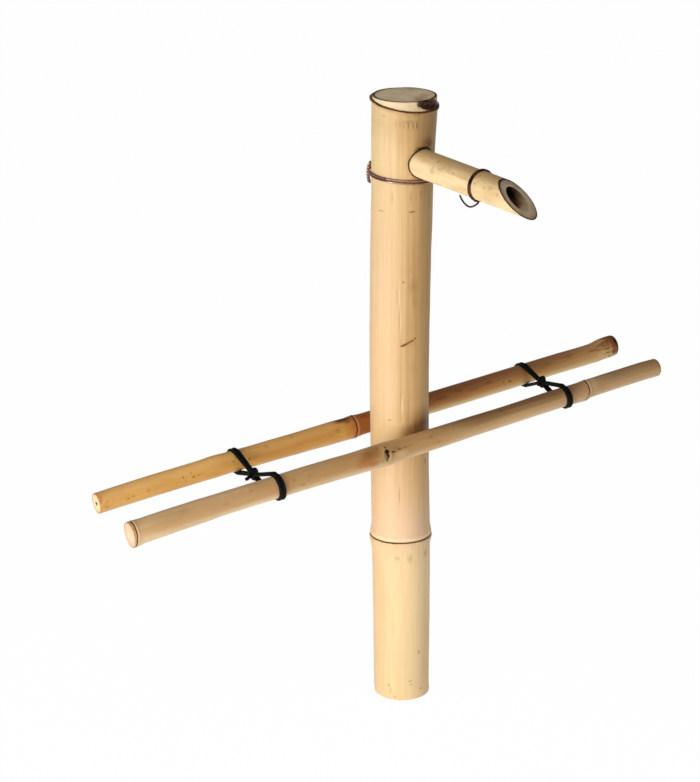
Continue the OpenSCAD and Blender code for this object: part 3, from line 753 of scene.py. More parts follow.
scarRamp = [(0.0, "#120501"), (0.14, "#381606"), (0.25, "#603412"), (0.34, "#1A0802"), (0.45, "#441F0A"),
    (0.55, "#120501"), (0.68, "#663A16"), (0.84, "#2A0E04"), (1.0, "#8A5A2E")]


def topShading(material):
    # pale bark between the top ring and the rim, laid only on the left-facing side, so partly painted light;
    # wrinkled dark hollow and brown lip of the branch scar
    tree = material.node_tree
    shader = tree.nodes["Principled BSDF"]
    under = shader.inputs["Base Color"].links[0].from_socket
    vector = culmVector(tree, postCulm)
    over = remap(tree, readAttribute(tree, "topRing"), 0.0006, 0.0014)
    left = useGroup(tree, sideGroup, {"Vector": vector, "Facing": [-0.7, -0.72, 0], "Low": 0.1, "High": 0.9,
        "Start": 0.43, "End": 0.48})[0]
    colour = paint(tree, under, times(tree, over, left), 0.6, "#F4E0BC")
    wrinkles = times(tree, minus(tree, noise(tree, vector, 420.0, 4.0, 0.65), 0.5), 0.6)
    spread = plus(tree, readAttribute(tree, "scar"), wrinkles)
    inner = colourRamp(tree, remap(tree, spread, 0.0, 1.3, kind="LINEAR"), scarRamp)
    colour = mixColour(tree, remap(tree, spread, 0.9, 1.25, 1.0, 0.0), colour, inner)
    tree.links.new(colour, shader.inputs["Base Color"])


postBark = barkMaterial("postBamboo", postCulm, postLook)
topShading(postBark)
addPiece("bambooPost", makePost(), [postBark, cutMaterial("postSawnFace", postCulm, topLook),
    insideMaterial("postInside", postCulm, postInside)], "post", ["post"])

# Spout: an open tube with a slanted cut
spout = {"root": 8.75, "reach": 122.6, "slant": 58.0, "radius": 10.2, "bore": 6.3, "edge": 0.45,
    "around": 160}
spoutLook = {"span": (8, 140), "fibreScale": 420.0, "broad": 0.05, "fine": 0.08, "fibreColour": "#B98A55",
    "ramp": [(0.0, "#F8DDAC"), (0.6, "#F8DAA8"), (1.0, "#F4D4A2")],
    # sides: the top is painted darker (painted shade, 90) and the underside lighter (painted light, -90)
    "sides": [(90, (0.1, 1.0), -50, 200, 5, "#A8844A", 0.66),
        (-90, (0.1, 0.9), -50, 200, 5, "#F6DDB0", 0.6)], "blotchScale": 135.0, "blotch": 0.46,
    "blotchColour": "#CBA56C", "speckScale": 230.0, "specks": 0.13, "speckColour": "#96713F",
    "rough": (0.42, 0.55), "bump": 0.08,
    # the spout's root ring: its dark line and soft stain at the post are painted shade of the gap, on a dark
    # edge; the lip ring is the cut's own dark edge
    "rings": [{"attribute": "rootGap", "line": 0.7, "stain": 2.5, "stainedAndShaded": 0.3, "stainAndShadeColour": "#9C7440",
            "drawn": 0.85, "lineColour": "#34190A", "highlighted": 0.0, "highlightColour": "#F6E0B8"},
        {"attribute": "lip", "line": 0.6, "stain": 1.2, "stainedAndShaded": 0.5, "stainAndShadeColour": "#8A6136",
            "drawn": 0.95, "lineColour": "#3A2010", "highlighted": 0.0, "highlightColour": "#F6E0B8"}],
    "marks": [(-6.2, 8.1, 45.9, 1.0, 1.1, "#7A5428", 0.8, 0.7),
        (-8.0, 6.3, 55.0, 0.9, 1.6, "#A0793F", 0.6, 0.8), (-8.7, 5.3, 65.3, 0.8, 0.9, "#7D5C2C", 0.85, 0.6),
        (-9.4, 4.0, 44.5, 1.6, 1.4, "#A8854E", 0.5, 0.8),
        (-10.1, 1.6, 44.0, 3.4, 4.0, "#A99763", 0.45, 0.95),
        (-7.2, 7.2, 87.2, 1.2, 1.0, "#9A7B42", 0.6, 0.8), (-9.4, 3.9, 88.6, 1.2, 1.4, "#8C7A45", 0.55, 0.8),
        (-9.5, 3.7, 98.9, 1.4, 1.4, "#9E8350", 0.55, 0.8),
        (-6.9, 7.5, 105.5, 0.7, 1.2, "#8A6636", 0.7, 0.7),
        (-1.3, 10.1, 99.8, 1.4, 1.8, "#96733F", 0.5, 0.8), (-8.1, 6.2, 97.7, 0.8, 1.0, "#96733F", 0.6, 0.8),
        (-9.0, 4.6, 52.0, 3.0, 5.0, "#BE9A62", 0.5, 0.95),
        (-8.0, 6.3, 60.0, 2.4, 5.0, "#B9935A", 0.4, 0.95),
        (-8.9, 5.0, 104.0, 2.6, 5.0, "#B9965E", 0.5, 0.95),
        (-5.2, 8.8, 89.0, 0.9, 1.4, "#8A6834", 0.7, 0.8), (-8.4, 5.8, 91.0, 1.0, 1.2, "#96783F", 0.6, 0.8),
        (-5.1, 8.8, 38.2, 1.6, 3.0, "#9C7A48", 0.5, 0.9),
        (-9.9, 2.3, 112.4, 1.2, 2.4, "#A8854E", 0.5, 0.9)]}
lipLook = {"ramp": [(0.0, "#B09A80"), (0.62, "#C6B094"), (0.8, "#BEA68A"), (1.0, "#8E7456")],
    "sawTurn": 90.0, "sawScale": 500.0, "sawn": 0.35, "sawColour": "#C4B294", "patchScale": 110.0,
    "patches": 0.5, "patchColour": "#7A6654", "bundles": 0.3, "rimColour": "#2E1A10", "rim": 0.95,
    "rimStart": 0.91}
# the bore's ramp darkens to black deeper in: painted shade, with a brown stain near the mouth
boreLook = {"pale": "#8A7048", "dark": "#4A3220", "stain": "#2A1608", "deep": 24.0,
    "ramp": [(0.0, "#C8B294"), (0.28, "#BA9C76"), (0.42, "#7E5232"), (0.56, "#2A1209"), (1.0, "#060201")]}


def spoutRadius(x, a):
    return spout["radius"] + 0.07 * np.sin(2 * a + x / 35) + 0.12 * hump(x, 92, 9) + 0 * x


def makeSpout():
    # rings run from the root along the bark to the slanted cut, over the cut and back down the bore;
    # the cut's place at a point is reach - up * tan(slant)
    a = np.arange(spout["around"]) * 2 * math.pi / spout["around"]
    edge, bore, tan = spout["edge"], spout["bore"], math.tan(math.radians(spout["slant"]))
    share = np.concatenate([[0], np.linspace(0.01, 0.985, 60), [0.993]])
    rows = []
    for t in share:                                       # bark
        first, last = spout["root"] + 0.4, spout["reach"] - spout["radius"] * tan * np.sin(a) - edge
        x = first + (last - spout["root"] - 0.4) * t
        rows.append((x, spoutRadius(x, a)))
    for t in np.radians(np.linspace(0, 90, 5)):           # rounded edge, the bark's side
        r = spout["radius"] + 0.07 * np.sin(2 * a + 3.5) - edge * (1 - np.cos(t))
        rows.append((spout["reach"] - r * tan * np.sin(a) - edge * (1 - np.sin(t)), r))
    for f in np.linspace(0.05, 0.95, 12):                 # sawn face
        r = (spout["radius"] - edge) * (1 - f) + (bore + 0.3) * f
        rows.append((spout["reach"] - r * tan * np.sin(a) + 0 * a, r + 0 * a))
    for t in np.radians(np.linspace(0, 90, 4)):           # edge of the bore
        r = bore + 0.3 * (1 - np.sin(t))
        rows.append((spout["reach"] - r * tan * np.sin(a) - 0.3 * (1 - np.cos(t)), r + 0 * a))
    for t in np.concatenate([[0.01], np.linspace(0.03, 1, 34)]):      # bore
        x = spout["reach"] - bore * tan * np.sin(a) - 0.3
        rows.append((x + (spout["root"] - x) * t, bore + 0 * a))
    for f in (0.1, 0.5, 0.9):
        rows.append((spout["root"] + 0 * a, bore + (spout["radius"] - bore) * f + 0 * a))
    x, r = (np.stack([np.broadcast_to(row[k], a.shape) for row in rows]) for k in (0, 1))
    local = np.stack([r * np.cos(a), r * np.sin(a), x], -1)
    mesh = closedSurface("bambooSpout", spoutCulm["origin"] + local @ spoutCulm["axes"].T, torus=True)
    cut = (spout["reach"] - r * tan * np.sin(a) - x) * math.cos(math.radians(spout["slant"]))
    barkPart = np.zeros(len(rows), bool)
    barkPart[:len(share) + 5] = True
    addAttribute(mesh, "lip", np.where(barkPart[:, None], cut, 20) * mm)
    addAttribute(mesh, "radial", r / spout["radius"])
    addAttribute(mesh, "deep", (spout["reach"] - r * tan * np.sin(a) - x) * mm)
    points = pointsOf(mesh)
    side, up = postCentre(points[:, 2])
    gap = np.hypot(points[:, 0] - side, points[:, 1] - up) - postRadius(points[:, 2],
        np.arctan2(points[:, 1] - up, points[:, 0] - side))
    addAttribute(mesh, "rootGap", np.where(np.repeat(barkPart, len(a)), gap, 20) * mm)
    barkRows, faceRows = len(share) + 3, len(share) + 5 + 12 + 1
    index = np.full((len(rows), len(a)), 2)
    index[:barkRows], index[barkRows:faceRows] = 0, 1
    index[-4:] = 1
    mesh.polygons.foreach_set("material_index", index.ravel().astype(np.int32))
    return mesh


addPiece("bambooSpout", makeSpout(), [barkMaterial("spoutBamboo", spoutCulm, spoutLook),
    cutMaterial("spoutSawnLip", spoutCulm, lipLook), insideMaterial("spoutBore", spoutCulm, boreLook)],
    "post", ["spout"])

allRound = (-1.5, -1.2)                # the reach of a side that goes all round

# Canes: places are along the cane from the middle of the post, and heights are off its straight line; a node
# is its place, size and swing
frontCane = {"span": (-231.7, 205.0), "around": 112, "edge": (0.25, 1.9), "dome": (0.12, 0.8),
    "pith": (0.0, 0.9),
    "radius": [(-232, 9.0), (-220, 8.75), (-176, 8.5), (-163, 8.1), (-98, 8.1), (-60, 8.05), (-36, 8.3),
        (-10, 7.7), (66, 7.1), (112, 7.2), (137, 7.2), (143, 6.8), (190, 6.75), (206, 6.6)],
    "nodes": [(-229.4, 0.3, 1.1), (139.8, 0.32, 2.8)],
    "height": [(-231, -1.9), (-221, -1.5), (-212, -1.15), (-196, -0.8), (-174, -0.5), (-163, -0.25),
        (-98, -0.25), (-76, -0.55), (-58, -1.0), (12, -1.0), (47, -0.7), (66, -0.7), (113, -0.15),
        (136, -0.4), (145, 0.4), (161, 0.6), (188, 0.75), (206, 0.4)], "out": -1.9,
    "scar": (-33.2, 165.0, 2.3, 4.2)}
rearCane = {"span": (-230.5, 205.6), "around": 112, "edge": (0.3, 1.8), "dome": (0.1, 1.0),
    "pith": (1.6, 0.8),
    "radius": [(-231, 7.5), (-190, 7.7), (-150, 7.7), (-138, 8.0), (-127, 7.7), (-100, 7.65), (-68, 7.8),
        (-42, 8.2), (-26, 8.0), (-14, 7.65), (8, 7.6), (50, 7.85), (104, 7.8), (152, 7.5), (180, 7.4),
        (197, 8.1), (206, 7.7)],
    "nodes": [(-24.1, 0.4, 1.1)], "out": 1.9,
    "height": [(-231, 0.3), (-212, 0.6), (-188, 0.8), (-149, 0.75), (-138, 0.9), (-98, 0), (-68, -0.55),
        (-44, -0.85), (-28, -1.1), (-15, -1.05), (50, -1.0), (104, -0.95), (152, -0.75), (174, -1.0),
        (184, -0.95), (194, 0.1), (206, 0.5)], "scar": None}
caneNode = [(1, 0, 4.2), (0.7, 1.3, 0.6), (-1.1, 0, 0.42)]      # height, middle and width of each hump
caneScar = [(0.5, 0, 2.6), (-1.15, 0, 0.75), (0.3, 1.25, 0.25)]
bowReach, bowDrop = 58, 0.46           # how far from the post a cane bows out, and its drop for each mm

frontLook = {"span": (-231, 206), "fibreScale": 420.0, "broad": 0.06, "fine": 0.06,
    "fibreColour": "#A87C4C",
    # sides: painted shade on the top of the right part (95 from 20 on), painted light on the top of the left
    # part (95 up to -60) and on the underside all along (-90); 165 darkens the front of the left part; the
    # all-round rows are the left end's, a node band's and the tip's own colours
    "sides": [(95, (-0.1, 0.9), 20, 138, 30, "#78522C", 0.84),
        (95, (-0.1, 1.0), 152, 210, 12, "#8A6842", 0.7), (95, (0.3, 1.0), -232, -60, 20, "#E6C08C", 0.5),
        (165, (0.35, 0.95), -224, 20, 14, "#B08450", 0.55),
        (-90, (-0.1, 0.9), -232, 206, 10, "#FFE8C0", 0.72),
        (180, allRound, -240, -231.2, 0.4, "#A06C48", 0.6),
        (180, allRound, 139.6, 146.5, 2.5, "#DDB892", 0.4),
        (180, allRound, 202.6, 240, 0.4, "#3A2010", 0.85)],
    "ramp": [(0.0, "#DCB88A"), (0.2, "#D2AA7A"), (0.42, "#C79C68"), (0.5, "#CBA370"), (0.75, "#CCA676"),
        (0.84, "#C6A074"), (1.0, "#C8A278")], "blotchScale": 55.0, "blotch": 0.4, "blotchColour": "#AE8450",
    "speckScale": 170.0, "specks": 0.02, "speckColour": "#6E4A28", "rough": (0.45, 0.58), "bump": 0.06,
    "rings": [{"attribute": "ring", "line": 0.6, "stain": 4.5, "stainedAndShaded": 0.3, "stainAndShadeColour": "#A5713F",
            "drawn": 0.95, "lineColour": "#3C180A", "highlighted": 0.5, "highlightColour": "#E2BC92"}],
    "marks": [(-6.7, 5.3, -46.0, 6.0, 11.0, "#8A5826", 0.85, 0.85),
        (-8.2, 2.8, -50.4, 4.6, 10.0, "#A0662E", 0.7, 0.85),
        (-8.8, 0.0, -54.4, 3.6, 7.0, "#B0683A", 0.55, 0.9),
        (-9.1, -1.1, -45.5, 3.6, 9.5, "#A0622C", 0.72, 0.85),
        (-8.0, 4.1, -41.0, 4.5, 5.5, "#9C6A38", 0.6, 0.85),
        (-9.8, 0.5, -36.7, 5.0, 3.6, "#978658", 0.65, 0.8),
        (-4.7, 7.2, -39.2, 2.6, 3.6, "#7A4E28", 0.6, 0.9),
        (-2.4, 7.8, -42.2, 1.6, 9.0, "#7A5434", 0.5, 0.9),
        (-8.1, 4.2, -32.9, 2.7, 2.5, "#200A0C", 1.0, 0.5),
        (-8.8, 1.4, -32.6, 2.8, 1.7, "#200A0C", 1.0, 0.55),
        (-9.6, -1.1, -34.1, 1.8, 1.2, "#4A3424", 0.9, 0.7),
        (-6.2, 6.9, -33.2, 1.6, 1.4, "#4A281A", 0.8, 0.75),
        (-9.1, 3.1, -28.4, 0.9, 2.9, "#2E140A", 0.95, 0.6),
        (-8.6, 3.5, -23.2, 0.9, 2.4, "#4A2814", 0.85, 0.7),
        (-7.9, 4.7, -25.3, 2.6, 5.5, "#8E6C44", 0.5, 0.9),
        (-9.5, -0.3, -22.9, 4.0, 9.0, "#DDBE8E", 0.45, 0.9),
        (-8.5, 3.6, -18.4, 1.0, 3.4, "#6A4A2C", 0.6, 0.8),
        (-8.5, 3.7, -14.1, 0.9, 3.0, "#7A5A3A", 0.5, 0.8),
        (-6.9, 4.1, -107.2, 0.8, 0.9, "#5A2418", 0.9, 0.6),
        (-8.1, -0.9, -101.0, 0.6, 2.4, "#6A4020", 0.7, 0.7),
        (-7.2, 3.8, -95.2, 1.2, 2.6, "#9C7440", 0.5, 0.8),
        (-5.7, 5.5, -140.3, 1.4, 1.6, "#8C6A3A", 0.5, 0.8),
        (-7.7, 2.4, -160.4, 2.4, 4.0, "#9C8450", 0.45, 0.9),
        (-5.5, 5.7, -191.6, 3.0, 7.0, "#A88452", 0.45, 0.9),
        (-9.5, -0.1, 8.7, 1.4, 1.6, "#A0602C", 0.6, 0.8), (-7.7, 4.7, 3.6, 2.0, 2.4, "#8A5E30", 0.5, 0.9),
        (-3.7, 5.9, 65.1, 1.4, 1.8, "#5A4A24", 0.7, 0.8), (-7.1, 1.6, 117.0, 6.0, 0.6, "#D89A78", 0.6, 0.7),
        (-7.1, -1.6, 114.4, 6.0, 0.5, "#C88A68", 0.5, 0.7)]}
rearLook = {"span": (-231, 206), "fibreScale": 420.0, "broad": 0.08, "fine": 0.08, "fibreColour": "#A06C34",
    # sides: painted shade on the top of the right part (95 from 20 to 175), painted light on the top of the
    # left part (95 up to -36) and on the undersides (-90); the all-round rows and the rows from 194 on are
    # the left end's, the node's and the tip's own colours
    "sides": [(95, (-0.1, 0.9), 20, 175, 30, "#804420", 0.58),
        (95, (0.2, 1.0), -232, -36, 12, "#FFCA7C", 0.72), (-90, (0.0, 0.75), 20, 210, 20, "#FFE2A6", 0.95),
        (-90, (0.2, 0.9), -232, -26, 8, "#EECB98", 0.65),
        (180, allRound, -240, -229.6, 0.5, "#B0683C", 0.6),
        (180, allRound, -23.4, 6, 1.5, "#B0602A", 0.5),
        (130, (-0.6, 0.6), 197.6, 230, 0.6, "#7C4028", 0.9),
        (-60, (0.0, 0.9), 197.0, 230, 0.6, "#84483A", 0.9), (95, (0.3, 0.9), 194, 230, 1.0, "#7A3C1E", 0.8),
        (180, allRound, 202.0, 240, 0.7, "#4A2420", 0.75),
        (118, (0.2, 0.95), 201.2, 240, 1.0, "#200A10", 0.85)],
    "ramp": [(0.0, "#E2AE64"), (0.12, "#DDA85A"), (0.28, "#DAA052"), (0.45, "#D29C50"), (0.474, "#BE743A"),
        (0.54, "#B86E3A"), (0.62, "#BE7E46"), (0.75, "#C48E56"), (0.93, "#C89C64"), (1.0, "#C89E66")],
    "blotchScale": 60.0, "blotch": 0.4, "blotchColour": "#B07A34", "speckScale": 170.0, "specks": 0.06,
    "speckColour": "#6A3C18", "rough": (0.42, 0.55), "bump": 0.07,
    "rings": [{"attribute": "ring", "line": 0.7, "stain": 5.0, "stainedAndShaded": 0.5, "stainAndShadeColour": "#9A5428",
            "drawn": 0.9, "lineColour": "#4A200C", "highlighted": 0.75, "highlightColour": "#D8956A"}],
    "marks": [(-4.2, 6.2, -97.6, 2.0, 2.4, "#A8902E", 0.6, 0.9),
        (-2.2, 7.7, -115.9, 1.8, 2.2, "#A08A30", 0.6, 0.9),
        (-2.5, 6.7, -76.0, 2.4, 3.0, "#B0943A", 0.5, 0.9),
        (-7.4, 2.1, -113.2, 1.0, 1.4, "#6E3418", 0.7, 0.8),
        (-5.8, -4.6, -110.7, 2.0, 2.4, "#9A8A34", 0.6, 0.9),
        (-7.1, 3.8, -125.7, 1.6, 1.6, "#A8602E", 0.6, 0.8),
        (-7.6, 0.5, 106.1, 1.4, 2.2, "#5A2A14", 0.75, 0.8),
        (-7.4, 1.0, 100.6, 1.0, 1.4, "#5A2A14", 0.7, 0.8),
        (-7.3, -3.3, 118.7, 1.8, 3.4, "#A8963C", 0.65, 0.9),
        (-4.9, 5.7, 189.6, 1.7, 8.0, "#7A4822", 0.75, 0.8),
        (-5.7, 3.8, 182.5, 1.2, 9.0, "#7E4E28", 0.7, 0.8),
        (-7.6, -1.3, 188.8, 3.2, 7.5, "#DDB884", 0.6, 0.9),
        (-7.3, 2.1, 189.9, 1.4, 4.0, "#D8AE78", 0.6, 0.9),
        (-7.5, 2.7, 193.4, 1.1, 5.0, "#6E3E20", 0.75, 0.8),
        (-5.2, 6.3, 202.4, 4.4, 2.4, "#2A1016", 1.0, 0.8),
        (-6.8, -4.2, 195.6, 1.3, 1.0, "#1E0F08", 0.95, 0.6),
        (-4.1, 6.9, 192.9, 1.0, 7.5, "#6A3A20", 0.8, 0.8),
        (-6.4, 4.7, 192.4, 0.9, 7.0, "#6A3A20", 0.8, 0.8),
        (-6.8, 2.9, 187.6, 0.9, 7.0, "#8A5A30", 0.8, 0.8),
        (-7.9, -0.5, 193.4, 0.8, 2.4, "#6E3E20", 0.8, 0.8),
        (-7.2, 3.4, -165.6, 0.7, 0.8, "#4A2410", 0.9, 0.6),
        (-7.7, 1.5, -158.0, 1.2, 1.6, "#7A4E1C", 0.7, 0.8),
        (-7.6, 1.6, -153.9, 0.8, 1.8, "#8A5E24", 0.6, 0.8),
        (-7.6, -0.1, -164.4, 1.0, 1.2, "#8A5E24", 0.6, 0.8),
        (-7.6, 1.9, -193.4, 1.6, 2.0, "#A07030", 0.6, 0.9),
        (-7.7, 1.1, -205.2, 1.0, 1.6, "#8A5E24", 0.7, 0.8),
        (-7.6, 0.1, -209.4, 1.1, 1.8, "#8A5E24", 0.6, 0.8),
        (-7.2, 2.5, -225.2, 0.8, 1.4, "#9A6A2A", 0.6, 0.8),
        (-7.4, -1.0, -226.0, 1.0, 1.8, "#9A6A2A", 0.6, 0.8),
        (-5.1, 5.7, -228.6, 3.0, 1.6, "#C07048", 0.6, 0.8),
        (0.5, 6.4, -32.5, 4.4, 10.0, "#5A2418", 0.9, 0.75),
        (-2.6, 5.2, -29.5, 2.6, 5.0, "#9A5028", 0.7, 0.85),
        (-6.5, 0.6, -37.2, 4.5, 9.0, "#CDA24C", 0.6, 0.9),
        (-5.8, 2.6, -40.4, 0.8, 3.4, "#7E5A22", 0.7, 0.8),
        (-6.4, 1.2, -39.6, 0.7, 2.6, "#8A6224", 0.6, 0.8),
        (-6.2, -4.3, -31.5, 1.4, 2.4, "#A4703A", 0.6, 0.85),
        (-1.1, 5.2, -15.5, 3.0, 5.0, "#8E3E18", 0.5, 0.9), (-5.5, 2.8, 47.7, 2.4, 9.0, "#7C401A", 0.5, 0.9),
        (-4.8, 4.3, 62.6, 2.0, 7.0, "#6E3818", 0.5, 0.9), (-5.7, 4.1, 88.3, 2.0, 6.0, "#7C461E", 0.5, 0.9),
        (-6.7, 2.3, 75.2, 1.6, 6.0, "#8E5626", 0.45, 0.9),
        (-5.8, 3.9, 140.4, 2.2, 8.0, "#8A5A2A", 0.45, 0.9),
        (-4.9, 4.9, 160.4, 2.0, 7.0, "#7C4E26", 0.45, 0.9)]}
frontCutLook = {"ramp": [(0.0, "#EBC6A2"), (0.6, "#E9C09A"), (0.9, "#DDAC86"), (1.0, "#C28E6C")],
    "sawTurn": 60.0, "sawScale": 500.0, "sawn": 0.3, "sawColour": "#F3D8B6", "patchScale": 130.0,
    "patches": 0.35, "patchColour": "#E2B48E", "bundles": 0.1, "rimColour": "#8A5A3C", "rim": 0.85,
    "rimStart": 0.93}
rearCutLook = {"ramp": [(0.0, "#8A6A3A"), (0.16, "#E9D2A0"), (0.7, "#EBD3A2"), (0.9, "#DDB583"),
        (1.0, "#B98055")], "sawTurn": 20.0, "sawScale": 500.0, "sawn": 0.25, "sawColour": "#F4E2BC",
    "patchScale": 130.0, "patches": 0.3, "patchColour": "#E4CB9A", "bundles": 0.1, "rimColour": "#9A5E3C",
    "rim": 0.8, "rimStart": 0.92}
canePith = {"pale": "#6A4E2C", "dark": "#3A2614", "stain": "#241408"}


def ringAt(place, swing, a):
    # where a node's ring runs at each angle; low on one side it swings towards the left end
    return place + 0.25 * np.sin(a + 0.5) - swing * np.clip(np.cos(a + 2.3), 0, 1) ** 4


def caneRadius(cane):
    def radiusAt(x, a):
        # measured taper, swellings with a groove and a lip at the nodes, and the branch scar
        r = easeThrough(x, cane["radius"]) + 0.05 * np.sin(2 * a + x / 40) + 0.03 * np.sin(3 * a - x / 17)
        for place, size, swing in cane["nodes"]:
            d = x - ringAt(place, swing, a)
            r = r + size * addHumps(0, d, caneNode)
        if cane["scar"]:
            place, turn, wide, tall = cane["scar"]
            spread = np.hypot((x - place) / wide, wrapAngle(a - math.radians(turn)) * r / tall)
            r = addHumps(r, spread, caneScar)
        return r
    return radiusAt


def caneCentre(cane):
    # crooked up and down, and bowed out where it passes the post, so that the bowed post can turn past it
    def centreAt(x):
        out = cane["out"] * hump(x, 0, bowReach)
        return out, easeThrough(x, cane["height"]) - bowDrop * out
    return centreAt


def makeCane(name, cane, culm):
    low, high = cane["span"]
    radiusAt, centreAt = caneRadius(cane), caneCentre(cane)
    fine = [node[0] for node in cane["nodes"]] + ([cane["scar"][0]] if cane["scar"] else [])
    quarter = np.radians(np.linspace(0, 90, 6))
    share = np.linspace(0.0, 0.98, 14)
    parts = []
    for end, sign, edge, dome, pith in ((low, 1, cane["edge"][0], cane["dome"][0], cane["pith"][0]),
            (high, -1, cane["edge"][1], cane["dome"][1], cane["pith"][1])):
        ref = end + sign * edge
        base = max(pith, 0.35)
        start = [] if pith == 0 else [band(end + sign * np.array([24, 12, 4, 1.2]), ref, 0, 0, pith)]
        spread = base / 8.0
        face = spread + (1 - spread) * share
        start += [band(end + sign * dome * face ** 2, ref, face, edge, 0),
            band(end + sign * (dome + edge * (1 - np.cos(quarter))), ref, 1,
                edge * (1 - np.sin(quarter)), 0)]
        parts.append(start)
    wall = stations(low + cane["edge"][0] + cane["dome"][0] + 0.3,
        high - cane["edge"][1] - cane["dome"][1] - 0.3, 2.4, fine, 0.4)
    profile = np.concatenate(parts[0] + [band(wall)] + [part[::-1] for part in parts[1][::-1]])
    rings, r = culmRings(profile, cane["around"], radiusAt, centreAt, culm)
    firstPole, lastPole = (profile[k, 0] for k in (0, -1))
    mesh = closedSurface(name, rings, poleOf(firstPole, centreAt, culm), poleOf(lastPole, centreAt, culm))
    a = np.arange(cane["around"]) * 2 * math.pi / cane["around"]
    x = profile[:, 0, None] + 0 * a
    distances = np.stack([x - ringAt(place, swing, a) for place, _, swing in cane["nodes"]])
    nearest = np.abs(distances).argmin(0)[None]
    distance = np.take_along_axis(distances, nearest, 0)[0]
    onFace = (profile[:, 2] < 0.999) | (profile[:, 4] > 0)
    distance = np.where(onFace[:, None], 20, distance)
    addAttribute(mesh, "ring", np.append(distance.ravel(), [20, 20]) * mm)
    outer = radiusAt(profile[:, 1, None], a) - profile[:, 3, None]
    addAttribute(mesh, "radial", np.append((r / outer).ravel(), [0, 0]))
    rowIndex = np.where(profile[:, 4] > 0, 2, np.where(profile[:, 2] < 0.999, 1, 0))
    quadIndex = np.maximum(rowIndex[:-1], rowIndex[1:])
    index = np.concatenate([np.repeat(quadIndex, cane["around"]), np.full(cane["around"], rowIndex[0]),
        np.full(cane["around"], rowIndex[-1])])
    mesh.polygons.foreach_set("material_index", index.astype(np.int32))
    return mesh


for name, cane, culm, look, cutLook, node, slotName in (
        ("frontCane", frontCane, frontCulm, frontLook, frontCutLook, "front_cane", "front_cane_bamboo"),
        ("rearCane", rearCane, rearCulm, rearLook, rearCutLook, "rear_cane", "rear_cane_bamboo")):
    addPiece(name, makeCane(name, cane, culm), [barkMaterial(name + "Bamboo", culm, look),
        cutMaterial(name + "Sawn", culm, cutLook), insideMaterial(name + "Pith", culm, canePith)],
        "arms", [node])


# Paths: a round or lobed section carried along points, turning as little as possible
def smoothPath(points, step):
    # Catmull-Rom curve through the points, then evenly spaced points on it
    p = np.asarray(points, float)
    p = np.concatenate([2 * p[:1] - p[1:2], p, 2 * p[-1:] - p[-2:-1]])
    t = np.linspace(0, 1, 13)[:-1, None, None]
    a, b, c, d = p[:-3], p[1:-2], p[2:-1], p[3:]
    curve = 0.5 * (2 * b + (c - a) * t + (2 * a - 5 * b + 4 * c - d) * t ** 2
        + (3 * b - a - 3 * c + d) * t ** 3)
    curve = np.concatenate([curve.transpose(1, 0, 2).reshape(-1, 3), p[-2:-1]])
    along = np.concatenate([[0], np.cumsum(np.linalg.norm(np.diff(curve, axis=0), axis=1))])
    wanted = np.linspace(0, along[-1], max(int(along[-1] / step), 4))
    return np.stack([np.interp(wanted, along, curve[:, k]) for k in range(3)], -1), wanted


def carriedSides(path):
    heading = np.gradient(path, axis=0)
    heading /= np.linalg.norm(heading, axis=1)[:, None]
    start = np.cross(heading[0], [0, 0, 1.0] if abs(heading[0][2]) < 0.9 else [1.0, 0, 0])
    sides = [unit(start)]
    for h in heading[1:]:
        sides.append(unit(sides[-1] - h * (sides[-1] @ h)))
    return heading, np.array(sides)


def tubeRings(points, radius, around, step, lobes=0, depth=0.0, lay=9.0):
    # point = path + r (cos a side + sin a other), r = radius (1 + depth cos(lobes a - 2 pi lobes s / lay)),
    # and both ends close over as half an ellipse
    path, along = smoothPath(points, step)
    heading, side = carriedSides(path)
    other = np.cross(heading, side)
    a = np.arange(around) * 2 * math.pi / around
    r = radius * (1 + depth * np.cos(lobes * a[None] - 2 * math.pi * lobes * along[:, None] / lay))
    ends = np.minimum(along, along[-1] - along)[:, None] / radius
    r = r * np.sqrt(np.clip(1 - (1 - np.clip(ends, 0.02, 1)) ** 2, 0, 1))
    rings = path[:, None] + r[..., None] * (np.cos(a)[None, :, None] * side[:, None]
        + np.sin(a)[None, :, None] * other[:, None])
    return rings, along, (path[0], path[-1])


def joinTubes(name, tubes):
    # several tubes in one mesh, with how far along and how far round each point is
    meshes, alongs, rounds = [], [], []
    for rings, along, poles in tubes:
        meshes.append(closedSurface(name, rings, *poles))
        around = rings.shape[1]
        alongs.append(np.append(np.repeat(along, around), [along[0], along[-1]]))
        rounds.append(np.append(np.tile(np.arange(around) / around, len(along)), [0, 0]))
    points = np.concatenate([pointsOf(mesh) for mesh in meshes]) * mm
    faces, base = [], 0
    for mesh in meshes:
        faces += [[base + v for v in polygon.vertices] for polygon in mesh.polygons]
        base += len(mesh.vertices)
        bpy.data.meshes.remove(mesh)
    joined = bpy.data.meshes.new(name)
    joined.from_pydata(points.tolist(), [], faces)
    joined.shade_smooth()
    addAttribute(joined, "along", np.concatenate(alongs) * mm)
    addAttribute(joined, "round", np.concatenate(rounds))
    return joined


# Copper wires
wire = {"radius": 0.7, "pitch": 1.85, "turns": 2, "around": 14, "strand": 0.68, "strandPitch": 4.4}
postWire = {"z": 399.3, "lean": 4.0, "lowSide": -10.0, "turn": 133.0, "twistUp": 6.6, "twistDown": 9.6,
    "fold": 1.45, "foldOut": 0.1, "bend": 1.9, "radius": 23.04, "lift": 25.54}
spoutWire = {"at": 85.0, "tailTurn": -25.0, "pitch": 1.4, "shift": -0.8, "radius": 11.2, "lift": 13.05}
postCopper = {"bright": "#FAE6DA", "mid": "#A87C66", "dark": "#4E2618", "patches": 90.0, "rubbedHighlight": 0.7}
spoutCopper = {"bright": "#B88A84", "mid": "#542A2C", "dark": "#220A0E", "patches": 90.0, "rubbedHighlight": 0.35}


